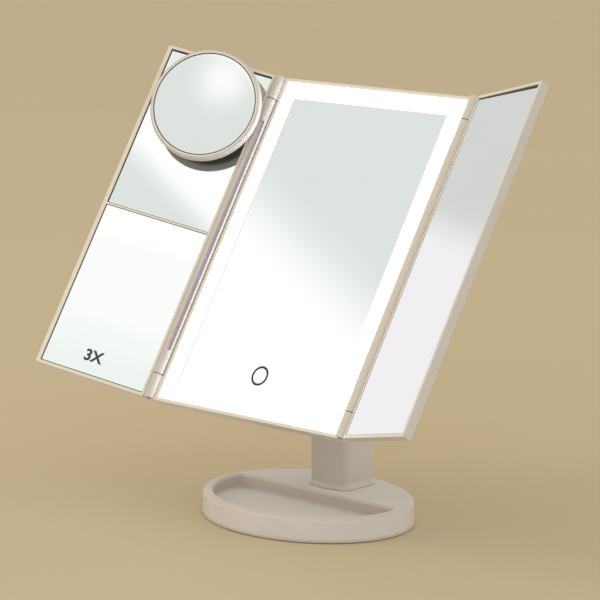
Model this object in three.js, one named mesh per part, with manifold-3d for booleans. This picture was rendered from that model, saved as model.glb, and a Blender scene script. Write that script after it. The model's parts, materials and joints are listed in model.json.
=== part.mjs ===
// Trifold vanity mirror with a lit border: a tray base, a post, a tilting head with two folding wings,
// and a round magnifier on a suction cup. Millimetres, +Z up, the front faces -Y.
// The origin is the centre of the underside of the non-slip pad.

import * as THREE from 'three';
import { mergeVertices } from 'three/addons/utils/BufferGeometryUtils.js';
import Module from 'manifold-3d';

const wasm = await Module();
wasm.setup();
const radians = THREE.MathUtils.degToRad;

// Pose of the folding parts as photographed
const HEAD_TILT = 32.5;
const LEFT_FOLD = 24;
const RIGHT_FOLD = 24;
const MAGNIFIER_TILT = 4.6;

// Shared clearances
const GAP = 0.3;
const PIN_CLEARANCE = 0.3;
const CUT_OVERRUN = 1;
const JOIN_OVERLAP = 1;
const BORE_STEPS = 16;
const ROUND_STEPS = 24;

// Base: an oval shell with a make-up tray in its front half
const BASE_HALF_WIDTH = 90.3;
const BASE_HALF_DEPTH = 71.3;
const BASE_LIFT = 0.8;
const BASE_HEIGHT = 18.4;
const BASE_WALL = 2.6;
const BASE_EDGE_RADIUS = 3.6;
const BASE_DRAFT = 0.5;
const TRAY_RIM = 8.5;
const TRAY_BACK_Y = 9;
const TRAY_DEPTH = 11.4;
const TRAY_FLOOR = 2.4;
const TRAY_EDGE_RADIUS = 2.4;
const TRAY_FLOOR_RADIUS = 2;
const PAD_THICKNESS = 1.5;
const BOTTOM_PLATE = 2;
const BALLAST_THICKNESS = 6;
const BALLAST_CLEARANCE = 1.5;
const INNER_CHAMFER = 2;
const OVAL_STEPS = 56;

// Post: a moulded column with a bowed front, a flared foot and a round tilt knuckle
const POST_WIDTH = 39.3;
const POST_DEPTH = 37.4;
const POST_BOW = 2.5;
const POST_CORNER = 5.8;
const POST_CORNER_STEPS = 5;
const POST_BOW_STEPS = 8;
const POST_Y = 38.1;
const POST_WALL = 2.6;
const FOOT_FLARE = 2;
const FOOT_HEIGHT = 4.6;
const FOOT_PROFILE = [[1, 0], [1, 0.2], [0.5, 0.5], [0.17, 0.8], [0, 1]];
const POST_BOSS_X = 13.2;
const POST_BOSS_RADIUS = 4.6;
const POST_BOSS_HEIGHT = 22;
const POST_SCREW_RADIUS = 2;
const POST_SCREW_HEAD_RADIUS = 4;
const POST_SCREW_HEAD = 2.6;
const SCREW_TIP_ROOM = 2;

// Tilt joint at the top of the post, behind the middle of the head
const PIVOT_HEIGHT = 186.5;
const PIVOT_V = 137.5;
const PIVOT_DEPTH = 39.8;
const KNUCKLE_RADIUS = 12;
const SHOULDER_DROP = 34;
const POST_CAVITY_DROP = 40;
const AXLE_RADIUS = 3;
const AXLE_HEAD_RADIUS = 5;
const AXLE_HEAD_LENGTH = 2.2;
const AXLE_END_INSET = 0.5;
const WASHER_THICKNESS = 1;
const WASHER_RADIUS = 9;
const EAR_THICKNESS = 5.3;
const EAR_BASE_HALF = 22.5;
const FLANGE_REACH = 12;
const FLANGE_THICKNESS = 3;

// Centre panel: a mirror inside a lit border, in a bezel with the outer hinge knuckles
const GLASS_WIDTH = 187.2;
const GLASS_HEIGHT = 275;
const GLASS_THICKNESS = 2.8;
const LIT_BORDER = 14.6;
const FRAME_LIP = 2.5;
const LIP_PROUD = 0.6;
const SIDE_RAIL = 5.4;
const BEZEL_DEPTH = 6.6;
const HOUSING_DEPTH = 13;
const HOUSING_BEVEL_WIDTH = 13;
const HOUSING_END_BEVEL = 2.5;
const COVER_SIDE_BAND = 0.8;
const HOUSING_WALL = 2.2;

// Hinges between the centre and the wings
const HINGE_OFFSET = 7;
const HINGE_W = 1.6;
const BARREL_RADIUS = 4.2;
const BARREL_STEPS = 28;
const CHANNEL_CLEARANCE = 1.2;
const TOP_KNUCKLE = 19;
const BOTTOM_KNUCKLE = 21.4;
const SEAM = 0.6;
const KNUCKLE_DOME = 0.9;
const PIN_RADIUS = 1.5;
const PIN_IN_BARREL = 12;
const PIN_RECESS = 1.4;
const TOP_PIN_COVER = 5;
const GROOVE_LENGTH = 200;
const GROOVE_WIDTH = 2.8;
const GROOVE_DEPTH = 1.2;
const GROOVE_ANGLE = 23;

// Wings
const WING_GLASS_START = 6.7;
const WING_GLASS_WIDTH = 90;
const WING_LIP = 3.5;
const WING_LIP_PROUD = 0.8;
const WING_GLASS_SET_BACK = 0.4;
const WING_DEPTH = 6.8;
const WING_CORNER = 2;
const WING_EDGE = 0.5;
const WING_WEB_START = 3;
const WING_LEDGE = 3;
const WING_LEDGE_THICKNESS = 1.1;
const WING_COVER_THICKNESS = 1.8;
const DIVIDER_WIDTH = 1.6;
const DIVIDER_V = 136.8;
const DIVIDER_BELOW_LIP = 0.2;

// Light channel, light strips and boards behind the centre glass
const TRAY_SHEET = 1.2;
const CHANNEL_DEPTH = 6.2;
const CHANNEL_FLOOR = 1;
const STRIP_WIDTH = 8;
const STRIP_THICKNESS = 0.8;
const CHIP_LENGTH = 3.5;
const CHIP_WIDTH = 2.8;
const CHIP_HEIGHT = 0.7;
const CHIP_PITCH = 20;
const STRIP_END_MARGIN = 6;
const TOUCH_V = 32.6;
const TOUCH_BOARD = 16;
const TOUCH_BOARD_THICKNESS = 1;
const BOARD_WIDTH = 70;
const BOARD_HEIGHT = 34;
const BOARD_THICKNESS = 1.2;
const BOARD_BELOW_EARS = 27;
const BOARD_BACK = 7.6;
const BOARD_BOSS_RADIUS = 2.5;
const BOARD_BOSS_INSET = 4;
const CONTROL_CHIP = 10;
const CONTROL_CHIP_HEIGHT = 0.9;
const SOCKET_U = 22;
const SOCKET_WIDTH = 7.6;
const SOCKET_HEIGHT = 2.9;
const SOCKET_SHEET = 0.4;
const SOCKET_END = 1;
const SOCKET_TONGUE = 0.6;
const SOCKET_TONGUE_INSET = 0.5;
const SWITCH_U = -22;
const SWITCH_SLOT_WIDTH = 9;
const SWITCH_SLOT_HEIGHT = 4.4;
const SWITCH_KNOB_WIDTH = 4.4;
const SWITCH_PROUD = 1.4;
const SWITCH_FLANGE = 1.2;
const SWITCH_FLANGE_REACH = 1;
const SWITCH_RIB = 0.6;
const SWITCH_RIB_PITCH = 1.3;
const SWITCH_RIB_PROUD = 0.4;
const SWITCH_TRAVEL = 3;

// Battery bay on the back of the head: four cells side by side behind a sliding door
const CELL_RADIUS = 7.25;
const CELL_LENGTH = 49.2;
const CELL_NUB_RADIUS = 2.7;
const CELL_NUB = 1.2;
const CELL_PITCH = 15.2;
const CELL_COUNT = 4;
const BAY_ABOVE_EARS = 10;
const BAY_FLOOR = 7.5;
const BAY_FLOOR_SHEET = 1.8;
const BAY_SIDE_CLEARANCE = 0.7;
const BAY_END_ROOM = 3.4;
const BAY_WALL = 4;
const BAY_INNER_WALL = 2;
const BAY_CORNER = 5;
const BAY_EDGE = 1.6;
const CELL_CLEARANCE = 0.4;
const DOOR_THICKNESS = 2;
const DOOR_TONGUE = 1.9;
const DOOR_TONGUE_THICKNESS = 0.9;
const DOOR_GRIP_RIBS = 4;
const DOOR_GRIP_DROP = 6;
const DOOR_GRIP_PITCH = 2.4;
const DOOR_GRIP_LENGTH = 18;
const DOOR_RIB = 1;
const DOOR_RIB_PROUD = 0.6;
const CONTACT_THICKNESS = 0.5;
const CONTACT_DOME = 1.1;
const CONTACT_DOME_FOOT = 3;
const CONTACT_DOME_TIP = 1.5;
const CONTACT_HEIGHT = 8;
const CONTACT_INSET = 1;

// Magnifier: a round shallow housing on a ball stud and a suction cup
const MAGNIFIER_R = 45.4;
const MAGNIFIER_V = 233.2;
const MAGNIFIER_STAND_OFF = 16.7;
const MAGNIFIER_RADIUS = 45.6;
const MAGNIFIER_DEPTH = 8.3;
const MAGNIFIER_LIP = 3.3;
const MAGNIFIER_SHEET = 1.7;
const MAGNIFIER_LEDGE = 2;
const MAGNIFIER_LEDGE_SHEET = 1;
const MAGNIFIER_EDGE = 1.8;
const MAGNIFIER_GLASS = 2;
const MAGNIFIER_GLASS_SET_BACK = 0.5;
const MAGNIFIER_SAG = 1.1;
const MAGNIFIER_STEPS = 48;
const MAGNIFIER_FACE_STEPS = 6;
const BALL_RADIUS = 3.2;
const BALL_SINK = 1.7;
const BALL_STEPS = 20;
const SOCKET_WALL = 3;
const SOCKET_TAPER = 1;
const STUD_RADIUS = 1.8;
const STUD_FOOT_RADIUS = 5;
const STUD_FOOT = 1;
const CUP_RADIUS = 17;
const CUP_HEIGHT = 3.4;
const CUP_HUB_RADIUS = 6;
const CUP_EDGE = 0.6;
const CUP_SHOULDER_RADIUS = 12;
const CUP_SHOULDER_DROP = 1.4;

// Values worked out from the driving dimensions
const headHeight = GLASS_HEIGHT + 2 * FRAME_LIP;
const housingHalfWidth = GLASS_WIDTH / 2 + SIDE_RAIL;
const hingeU = GLASS_WIDTH / 2 + HINGE_OFFSET;
const headBottom = -FRAME_LIP;
const headTop = headBottom + headHeight;
const baseTop = BASE_LIFT + BASE_HEIGHT;
const trayFloorZ = baseTop - TRAY_DEPTH;
const seamLow = headBottom + BOTTOM_KNUCKLE;
const seamHigh = headTop - TOP_KNUCKLE;
const wingReach = WING_GLASS_START + WING_GLASS_WIDTH + WING_LIP;
const coverBackW = -HOUSING_DEPTH;
const earInner = POST_WIDTH / 2 + WASHER_THICKNESS + 2 * GAP;
const axleBore = AXLE_RADIUS + PIN_CLEARANCE;
const cellAxisW = -(BAY_FLOOR + CELL_CLEARANCE + CELL_RADIUS);
const doorFrontW = cellAxisW - CELL_RADIUS - CELL_CLEARANCE;
const doorBackW = doorFrontW - DOOR_THICKNESS;
const bayHalfWidth = (CELL_COUNT - 1) * CELL_PITCH / 2 + CELL_RADIUS + BAY_SIDE_CLEARANCE;
const bayV = PIVOT_V + EAR_BASE_HALF + BAY_ABOVE_EARS;
const bayTopV = bayV + CELL_LENGTH + CELL_NUB + 2 * BAY_END_ROOM;
const boardV = PIVOT_V - EAR_BASE_HALF - BOARD_BELOW_EARS;
const switchRestU = SWITCH_U - SWITCH_TRAVEL / 2;

// Materials
const paint = (color, roughness, metalness = 0) => (
  new THREE.MeshStandardMaterial({ color, roughness, metalness }));
const warmPlastic = paint(0xe4dcd0, 0.45);
const mirrorGlass = paint(0xdde2dd, 0.04, 1);
const opal = paint(0xffffff, 0.6);
const whitePlastic = paint(0xf4f4f2, 0.5);
const steel = paint(0xb9bcc0, 0.3, 1);
const rubber = paint(0x5b5956, 0.85);
const boardGreen = paint(0x2f6b45, 0.55);
const cellWrap = paint(0x8f9aa5, 0.4, 0.3);

// Turns a closed three.js geometry into a solid that can be cut and joined
function solid(geometry) {
  const bare = geometry.clone();
  bare.deleteAttribute('normal');
  bare.deleteAttribute('uv');
  const merged = mergeVertices(bare, 1e-4);
  return new wasm.Manifold(new wasm.Mesh({
    numProp: 3,
    vertProperties: new Float32Array(merged.getAttribute('position').array),
    triVerts: new Uint32Array(merged.index.array),
  }));
}

// Turns a solid back into a geometry for a mesh
function surface(body) {
  const { vertProperties, triVerts } = body.getMesh();
  const geometry = new THREE.BufferGeometry();
  geometry.setAttribute('position', new THREE.BufferAttribute(vertProperties, 3));
  geometry.setIndex(new THREE.BufferAttribute(triVerts, 1));
  geometry.computeVertexNormals();
  return geometry;
}

const join = (first, ...others) => others.reduce((sum, other) => sum.add(other), first);
const cut = (first, ...others) => others.reduce((rest, other) => rest.subtract(other), first);

function piece(name, body, material) {
  const mesh = new THREE.Mesh(body.isBufferGeometry ? body : surface(body), material);
  mesh.name = name;
  return mesh;
}

function polygon(points) {
  return new THREE.Shape(points.map(([x, y]) => new THREE.Vector2(x, y)));
}

function roundedRectangle(x0, y0, x1, y1, radius) {
  const shape = new THREE.Shape();
  shape.absarc(x1 - radius, y0 + radius, radius, -Math.PI / 2, 0);
  shape.absarc(x1 - radius, y1 - radius, radius, 0, Math.PI / 2);
  shape.absarc(x0 + radius, y1 - radius, radius, Math.PI / 2, Math.PI);
  shape.absarc(x0 + radius, y0 + radius, radius, Math.PI, 1.5 * Math.PI);
  return shape;
}

// A slot with round ends, centred on x = 0
function roundEndedSlot(width, y0, y1) {
  const radius = width / 2;
  const shape = new THREE.Shape();
  shape.absarc(0, y1 - radius, radius, 0, Math.PI);
  shape.absarc(0, y0 + radius, radius, Math.PI, 2 * Math.PI);
  return shape;
}

// A shape in plan, raised from z0 to z1
function raised(shape, z0, z1, curveSegments = 6) {
  return new THREE.ExtrudeGeometry(shape, { depth: z1 - z0, bevelEnabled: false, curveSegments })
    .translate(0, 0, z0);
}

// A shape in the front plane (u across, v up), from w0 to w1, with +w towards the front (-y)
function facing(shape, w0, w1, edge = 0) {
  const bevel = edge > 0
    ? { bevelEnabled: true, bevelThickness: edge, bevelSize: edge, bevelOffset: -edge, bevelSegments: 1 }
    : { bevelEnabled: false };
  return new THREE.ExtrudeGeometry(shape, { depth: w1 - w0 - 2 * edge, curveSegments: 4, ...bevel })
    .translate(0, 0, w0 + edge).rotateX(Math.PI / 2);
}

// A shape seen from the side (y across, z up), from x0 to x1
function sideways(shape, x0, x1, curveSegments = 10) {
  return new THREE.ExtrudeGeometry(shape, { depth: x1 - x0, bevelEnabled: false, curveSegments })
    .rotateX(Math.PI / 2).rotateZ(Math.PI / 2).translate(x0, 0, 0);
}

function box(x0, x1, y0, y1, z0, z1) {
  return new THREE.BoxGeometry(x1 - x0, y1 - y0, z1 - z0)
    .translate((x0 + x1) / 2, (y0 + y1) / 2, (z0 + z1) / 2);
}

// A box in head terms: u across, v up and w out of the front
const block = (u0, u1, v0, v1, w0, w1) => box(u0, u1, -w1, -w0, v0, v1);

// A round bar along z, x or the front direction
const bar = (radius, length, steps) => new THREE.CylinderGeometry(radius, radius, length, steps);
const upright = (radius, z0, z1, steps = ROUND_STEPS) => (
  bar(radius, z1 - z0, steps).rotateX(Math.PI / 2).translate(0, 0, (z0 + z1) / 2));
const crossways = (radius, x0, x1, steps = ROUND_STEPS) => (
  bar(radius, x1 - x0, steps).rotateZ(-Math.PI / 2).translate((x0 + x1) / 2, 0, 0));
const frontways = (radius, w0, w1, steps = ROUND_STEPS) => (
  bar(radius, w1 - w0, steps).translate(0, -(w0 + w1) / 2, 0));

// A profile of [radius, w] points turned about the front direction
function turned(profile, steps) {
  const points = profile.map(([radius, w]) => new THREE.Vector2(radius, w));
  return new THREE.LatheGeometry(points, steps).rotateX(Math.PI);
}

// A closed skin over rings of equal point counts, with flat ends
function loft(rings) {
  const count = rings[0].length;
  const middle = ring => ring.reduce((sum, p) => sum.map((s, i) => s + p[i] / count), [0, 0, 0]);
  const points = [...rings.flat(), middle(rings[0]), middle(rings[rings.length - 1])];
  const index = [];
  const last = rings.length - 1;
  for (let i = 0; i < count; i += 1) {
    const next = (i + 1) % count;
    for (let k = 0; k < last; k += 1) {
      const a = k * count + i;
      const b = k * count + next;
      index.push(a, b, b + count, a, b + count, a + count);
    }
    index.push(rings.length * count, next, i);
    index.push(rings.length * count + 1, last * count + i, last * count + next);
  }
  const geometry = new THREE.BufferGeometry();
  geometry.setAttribute('position', new THREE.Float32BufferAttribute(points.flat(), 3));
  geometry.setIndex(index);
  return geometry;
}

// An oval ring, drawn in by inset, at height z
function ovalRing(inset, z) {
  return Array.from({ length: OVAL_STEPS }, (_, i) => {
    const angle = 2 * Math.PI * i / OVAL_STEPS;
    return [(BASE_HALF_WIDTH - inset) * Math.cos(angle), (BASE_HALF_DEPTH - inset) * Math.sin(angle), z];
  });
}

// Part of the same oval on one side of a straight edge at y = edge
function partOval(inset, edge, z, sign) {
  const halfWidth = BASE_HALF_WIDTH - inset;
  const halfDepth = BASE_HALF_DEPTH - inset;
  const start = Math.asin(sign * edge / halfDepth);
  const steps = OVAL_STEPS / 2;
  const ring = Array.from({ length: steps + 1 }, (_, i) => {
    const angle = start + (Math.PI - 2 * start) * i / steps;
    return [halfWidth * Math.cos(angle), sign * halfDepth * Math.sin(angle), z];
  });
  return sign > 0 ? ring : ring.reverse();
}

// Base
function baseShell() {
  const arc = [0, 0.25, 0.5, 0.75, 1].map(share => share * Math.PI / 2);
  const outer = [ovalRing(0, BASE_LIFT), ...arc.map(angle => ovalRing(
    BASE_DRAFT + BASE_EDGE_RADIUS * (1 - Math.cos(angle)),
    baseTop - BASE_EDGE_RADIUS * (1 - Math.sin(angle)),
  ))];
  const tray = [];
  const trayRing = (offset, z) => partOval(TRAY_RIM - offset, TRAY_BACK_Y + offset, z, -1);
  for (const angle of arc) {
    tray.push(trayRing(-TRAY_FLOOR_RADIUS * (1 - Math.sin(angle)),
      trayFloorZ + TRAY_FLOOR_RADIUS * (1 - Math.cos(angle))));
  }
  for (const angle of arc) {
    tray.push(trayRing(TRAY_EDGE_RADIUS * (1 - Math.cos(angle)),
      baseTop - TRAY_EDGE_RADIUS * (1 - Math.sin(angle))));
  }
  tray.push(trayRing(TRAY_EDGE_RADIUS, baseTop + CUT_OVERRUN));
  const wall = BASE_WALL + BASE_DRAFT;
  const under = trayFloorZ - TRAY_FLOOR;
  const rearEdge = TRAY_BACK_Y + TRAY_EDGE_RADIUS + BASE_WALL;
  const lowCavity = loft([ovalRing(BASE_WALL, BASE_LIFT - CUT_OVERRUN), ovalRing(wall, under)]);
  const rearCavity = loft([
    partOval(wall, rearEdge, under - CUT_OVERRUN, 1),
    partOval(wall, rearEdge, baseTop - BASE_WALL - INNER_CHAMFER, 1),
    partOval(wall + INNER_CHAMFER, rearEdge, baseTop - BASE_WALL, 1),
  ]);
  const screwHoles = [-1, 1].map(side => solid(
    upright(POST_SCREW_RADIUS + PIN_CLEARANCE, baseTop - 2 * BASE_WALL, baseTop + CUT_OVERRUN, BORE_STEPS)
      .translate(side * POST_BOSS_X, POST_Y, 0),
  ));
  return cut(solid(loft(outer)), solid(loft(tray)), solid(lowCavity), solid(rearCavity), ...screwHoles);
}

function baseParts() {
  const group = new THREE.Group();
  const plateInset = BASE_WALL + BASE_DRAFT + GAP;
  const plateZ = PAD_THICKNESS + GAP;
  const ballastZ = plateZ + BOTTOM_PLATE + GAP;
  const ballastInset = BASE_WALL + BASE_DRAFT + BALLAST_CLEARANCE;
  const ballastEdge = TRAY_BACK_Y + TRAY_EDGE_RADIUS + BASE_WALL + BALLAST_CLEARANCE;
  group.add(piece('base_shell', baseShell(), warmPlastic));
  group.add(piece('base_bottom_plate',
    solid(loft([ovalRing(plateInset, plateZ), ovalRing(plateInset, plateZ + BOTTOM_PLATE)])), warmPlastic));
  group.add(piece('non_slip_pad',
    solid(loft([ovalRing(plateInset, 0), ovalRing(plateInset, PAD_THICKNESS)])), rubber));
  group.add(piece('ballast_plate', solid(loft([
    partOval(ballastInset, ballastEdge, ballastZ, 1),
    partOval(ballastInset, ballastEdge, ballastZ + BALLAST_THICKNESS, 1),
  ])), steel));
  return group;
}

// Post
function postRing(offset, z) {
  const halfWidth = POST_WIDTH / 2 + offset;
  const back = POST_DEPTH / 2 + offset;
  const radius = POST_CORNER + offset;
  const cornerX = halfWidth - radius;
  const frontCorner = -back + POST_BOW + radius;
  const ring = [];
  const corner = (cx, cy, from) => {
    for (let k = 0; k <= POST_CORNER_STEPS; k += 1) {
      const angle = from + Math.PI / 2 * k / POST_CORNER_STEPS;
      ring.push([cx + radius * Math.cos(angle), POST_Y + cy + radius * Math.sin(angle), z]);
    }
  };
  corner(cornerX, back - radius, 0);
  corner(-cornerX, back - radius, Math.PI / 2);
  corner(-cornerX, frontCorner, Math.PI);
  for (let k = 1; k < POST_BOW_STEPS; k += 1) {
    const share = 2 * k / POST_BOW_STEPS - 1;
    ring.push([cornerX * share, POST_Y - back + POST_BOW * share * share, z]);
  }
  corner(cornerX, frontCorner, 1.5 * Math.PI);
  return ring;
}

// Side outline of the post: straight sides that run in tangentially to the round knuckle
function postSide() {
  const reach = POST_DEPTH / 2;
  const bearing = Math.atan2(-SHOULDER_DROP, reach);
  const tangent = bearing + Math.acos(KNUCKLE_RADIUS / Math.hypot(reach, SHOULDER_DROP));
  const shoulder = PIVOT_HEIGHT - SHOULDER_DROP;
  const wide = reach + FOOT_FLARE + CUT_OVERRUN;
  const shape = new THREE.Shape();
  shape.moveTo(POST_Y - wide, 0);
  shape.lineTo(POST_Y + wide, 0);
  shape.lineTo(POST_Y + wide, shoulder);
  shape.lineTo(POST_Y + reach, shoulder);
  shape.absarc(POST_Y, PIVOT_HEIGHT, KNUCKLE_RADIUS, tangent, Math.PI - tangent);
  shape.lineTo(POST_Y - reach, shoulder);
  shape.lineTo(POST_Y - wide, shoulder);
  return shape;
}

function postShell() {
  const foot = baseTop + GAP;
  const top = PIVOT_HEIGHT + KNUCKLE_RADIUS + CUT_OVERRUN;
  const flare = FOOT_PROFILE.map(([out, up]) => postRing(FOOT_FLARE * out, foot + FOOT_HEIGHT * up));
  const column = loft([...flare, postRing(0, top)]);
  const side = sideways(postSide(), -POST_WIDTH, POST_WIDTH);
  const cavity = loft([
    postRing(-POST_WALL, foot - CUT_OVERRUN),
    postRing(-POST_WALL, PIVOT_HEIGHT - POST_CAVITY_DROP),
  ]);
  const bore = crossways(axleBore, -POST_WIDTH, POST_WIDTH).translate(0, POST_Y, PIVOT_HEIGHT);
  let body = cut(solid(column).intersect(solid(side)), solid(cavity), solid(bore));
  for (const x of [-POST_BOSS_X, POST_BOSS_X]) {
    const boss = solid(upright(POST_BOSS_RADIUS, foot, foot + POST_BOSS_HEIGHT).translate(x, POST_Y, 0));
    const pilot = solid(upright(POST_SCREW_RADIUS + PIN_CLEARANCE, foot - CUT_OVERRUN,
      foot + POST_BOSS_HEIGHT - POST_WALL, BORE_STEPS).translate(x, POST_Y, 0));
    body = cut(join(body, boss), pilot);
  }
  return body;
}

function postScrew(side) {
  const underDeck = baseTop - BASE_WALL - GAP;
  const tip = baseTop + POST_BOSS_HEIGHT - POST_WALL - SCREW_TIP_ROOM;
  return join(
    solid(upright(POST_SCREW_HEAD_RADIUS, underDeck - POST_SCREW_HEAD, underDeck)),
    solid(upright(POST_SCREW_RADIUS, underDeck - POST_SCREW_HEAD / 2, tip, BORE_STEPS)),
  ).translate([side * POST_BOSS_X, POST_Y, 0]);
}

// Tilt joint: two ears on the back of the head, an axle with its nut, and friction washers
function tiltEar(side) {
  const flangeFace = coverBackW - GAP;
  const along = PIVOT_DEPTH + flangeFace;
  const shape = new THREE.Shape();
  const tangent = Math.PI - Math.atan2(EAR_BASE_HALF, along)
    - Math.acos(KNUCKLE_RADIUS / Math.hypot(EAR_BASE_HALF, along));
  shape.moveTo(-flangeFace, PIVOT_V - EAR_BASE_HALF);
  shape.absarc(PIVOT_DEPTH, PIVOT_V, KNUCKLE_RADIUS, -tangent, tangent);
  shape.lineTo(-flangeFace, PIVOT_V + EAR_BASE_HALF);
  const near = side * earInner;
  const far = side * (earInner + EAR_THICKNESS);
  const ear = sideways(shape, Math.min(near, far), Math.max(near, far));
  const flangeEdge = far + side * FLANGE_REACH;
  const flange = block(Math.min(near, flangeEdge), Math.max(near, flangeEdge),
    PIVOT_V - EAR_BASE_HALF, PIVOT_V + EAR_BASE_HALF, flangeFace - FLANGE_THICKNESS, flangeFace);
  const bore = crossways(axleBore, Math.min(near, far) - CUT_OVERRUN, Math.max(near, far) + CUT_OVERRUN);
  const seat = far - side * (AXLE_HEAD_LENGTH + GAP);
  const recess = crossways(AXLE_HEAD_RADIUS + 2 * PIN_CLEARANCE,
    Math.min(seat, far + side * CUT_OVERRUN), Math.max(seat, far + side * CUT_OVERRUN));
  const atPivot = geometry => solid(geometry.translate(0, PIVOT_DEPTH, PIVOT_V));
  return cut(join(solid(ear), solid(flange)), atPivot(bore), atPivot(recess));
}

function tiltParts() {
  const group = new THREE.Group();
  const earOuter = earInner + EAR_THICKNESS;
  const headSeat = earOuter - AXLE_HEAD_LENGTH;
  const place = mesh => {
    mesh.position.set(0, PIVOT_DEPTH, PIVOT_V);
    return mesh;
  };
  group.add(piece('tilt_ear_left', tiltEar(-1), warmPlastic));
  group.add(piece('tilt_ear_right', tiltEar(1), warmPlastic));
  group.add(place(piece('tilt_axle', join(
    solid(crossways(AXLE_RADIUS, -earOuter + AXLE_END_INSET, headSeat + JOIN_OVERLAP)),
    solid(crossways(AXLE_HEAD_RADIUS, headSeat, earOuter)),
  ), steel)));
  group.add(place(piece('tilt_nut', cut(
    solid(crossways(AXLE_HEAD_RADIUS, -earOuter, -headSeat, 6)),
    solid(crossways(axleBore, -earOuter - CUT_OVERRUN, -headSeat + CUT_OVERRUN)),
  ), steel)));
  for (const [name, side] of [['friction_washer_left', -1], ['friction_washer_right', 1]]) {
    const near = side * (POST_WIDTH / 2 + GAP);
    const far = near + side * WASHER_THICKNESS;
    group.add(place(piece(name, cut(
      solid(crossways(WASHER_RADIUS, Math.min(near, far), Math.max(near, far))),
      solid(crossways(axleBore, Math.min(near, far) - CUT_OVERRUN, Math.max(near, far) + CUT_OVERRUN)),
    ), rubber)));
  }
  return group;
}

// Centre panel
function bezel() {
  const halfGlass = GLASS_WIDTH / 2;
  const body = solid(block(-housingHalfWidth, housingHalfWidth,
    headBottom, headTop, -BEZEL_DEPTH, LIP_PROUD));
  const window = solid(block(-halfGlass, halfGlass, 0, GLASS_HEIGHT,
    -BEZEL_DEPTH - CUT_OVERRUN, LIP_PROUD + CUT_OVERRUN));
  let frame = cut(body, window);
  for (const side of [-1, 1]) {
    const atHinge = geometry => solid(geometry.translate(side * hingeU, -HINGE_W, 0));
    frame = cut(frame, atHinge(upright(BARREL_RADIUS + CHANNEL_CLEARANCE, seamLow, seamHigh, BARREL_STEPS)));
    frame = join(frame,
      atHinge(knuckle(headBottom, seamLow, false)),
      atHinge(knuckle(seamHigh, headTop, true)));
    const bore = PIN_RADIUS + PIN_CLEARANCE;
    frame = cut(frame,
      atHinge(upright(bore, headBottom - CUT_OVERRUN, seamLow + CUT_OVERRUN, BORE_STEPS)),
      atHinge(upright(bore, seamHigh - CUT_OVERRUN, headTop - TOP_PIN_COVER, BORE_STEPS)));
  }
  return frame;
}

// An end knuckle with a slightly domed outer end
function knuckle(low, high, domeUp) {
  const inner = BARREL_RADIUS - KNUCKLE_DOME;
  const profile = domeUp
    ? [[0, low], [BARREL_RADIUS, low], [BARREL_RADIUS, high - KNUCKLE_DOME], [inner, high], [0, high]]
    : [[0, low], [inner, low], [BARREL_RADIUS, low + KNUCKLE_DOME], [BARREL_RADIUS, high], [0, high]];
  const points = profile.map(([radius, height]) => new THREE.Vector2(radius, height));
  return new THREE.LatheGeometry(points, BARREL_STEPS).rotateX(Math.PI / 2);
}

// Plan outline of the rear cover, drawn in by the wall
function coverPlan(wall) {
  const half = housingHalfWidth - wall;
  const front = BEZEL_DEPTH + (wall > 0 ? -CUT_OVERRUN : GAP);
  const back = HOUSING_DEPTH - wall;
  const bevelStart = BEZEL_DEPTH + GAP + COVER_SIDE_BAND;
  return polygon([[-half, front], [half, front], [half, bevelStart],
    [half - HOUSING_BEVEL_WIDTH, back], [-half + HOUSING_BEVEL_WIDTH, back], [-half, bevelStart]]);
}

// Side outline of the rear cover (depth across, v up)
function coverSide(wall) {
  const back = HOUSING_DEPTH - wall;
  const low = headBottom + wall;
  const high = headTop - wall;
  return polygon([[0, low], [back - HOUSING_END_BEVEL, low], [back, low + HOUSING_END_BEVEL],
    [back, high - HOUSING_END_BEVEL], [back - HOUSING_END_BEVEL, high], [0, high]]);
}

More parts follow.
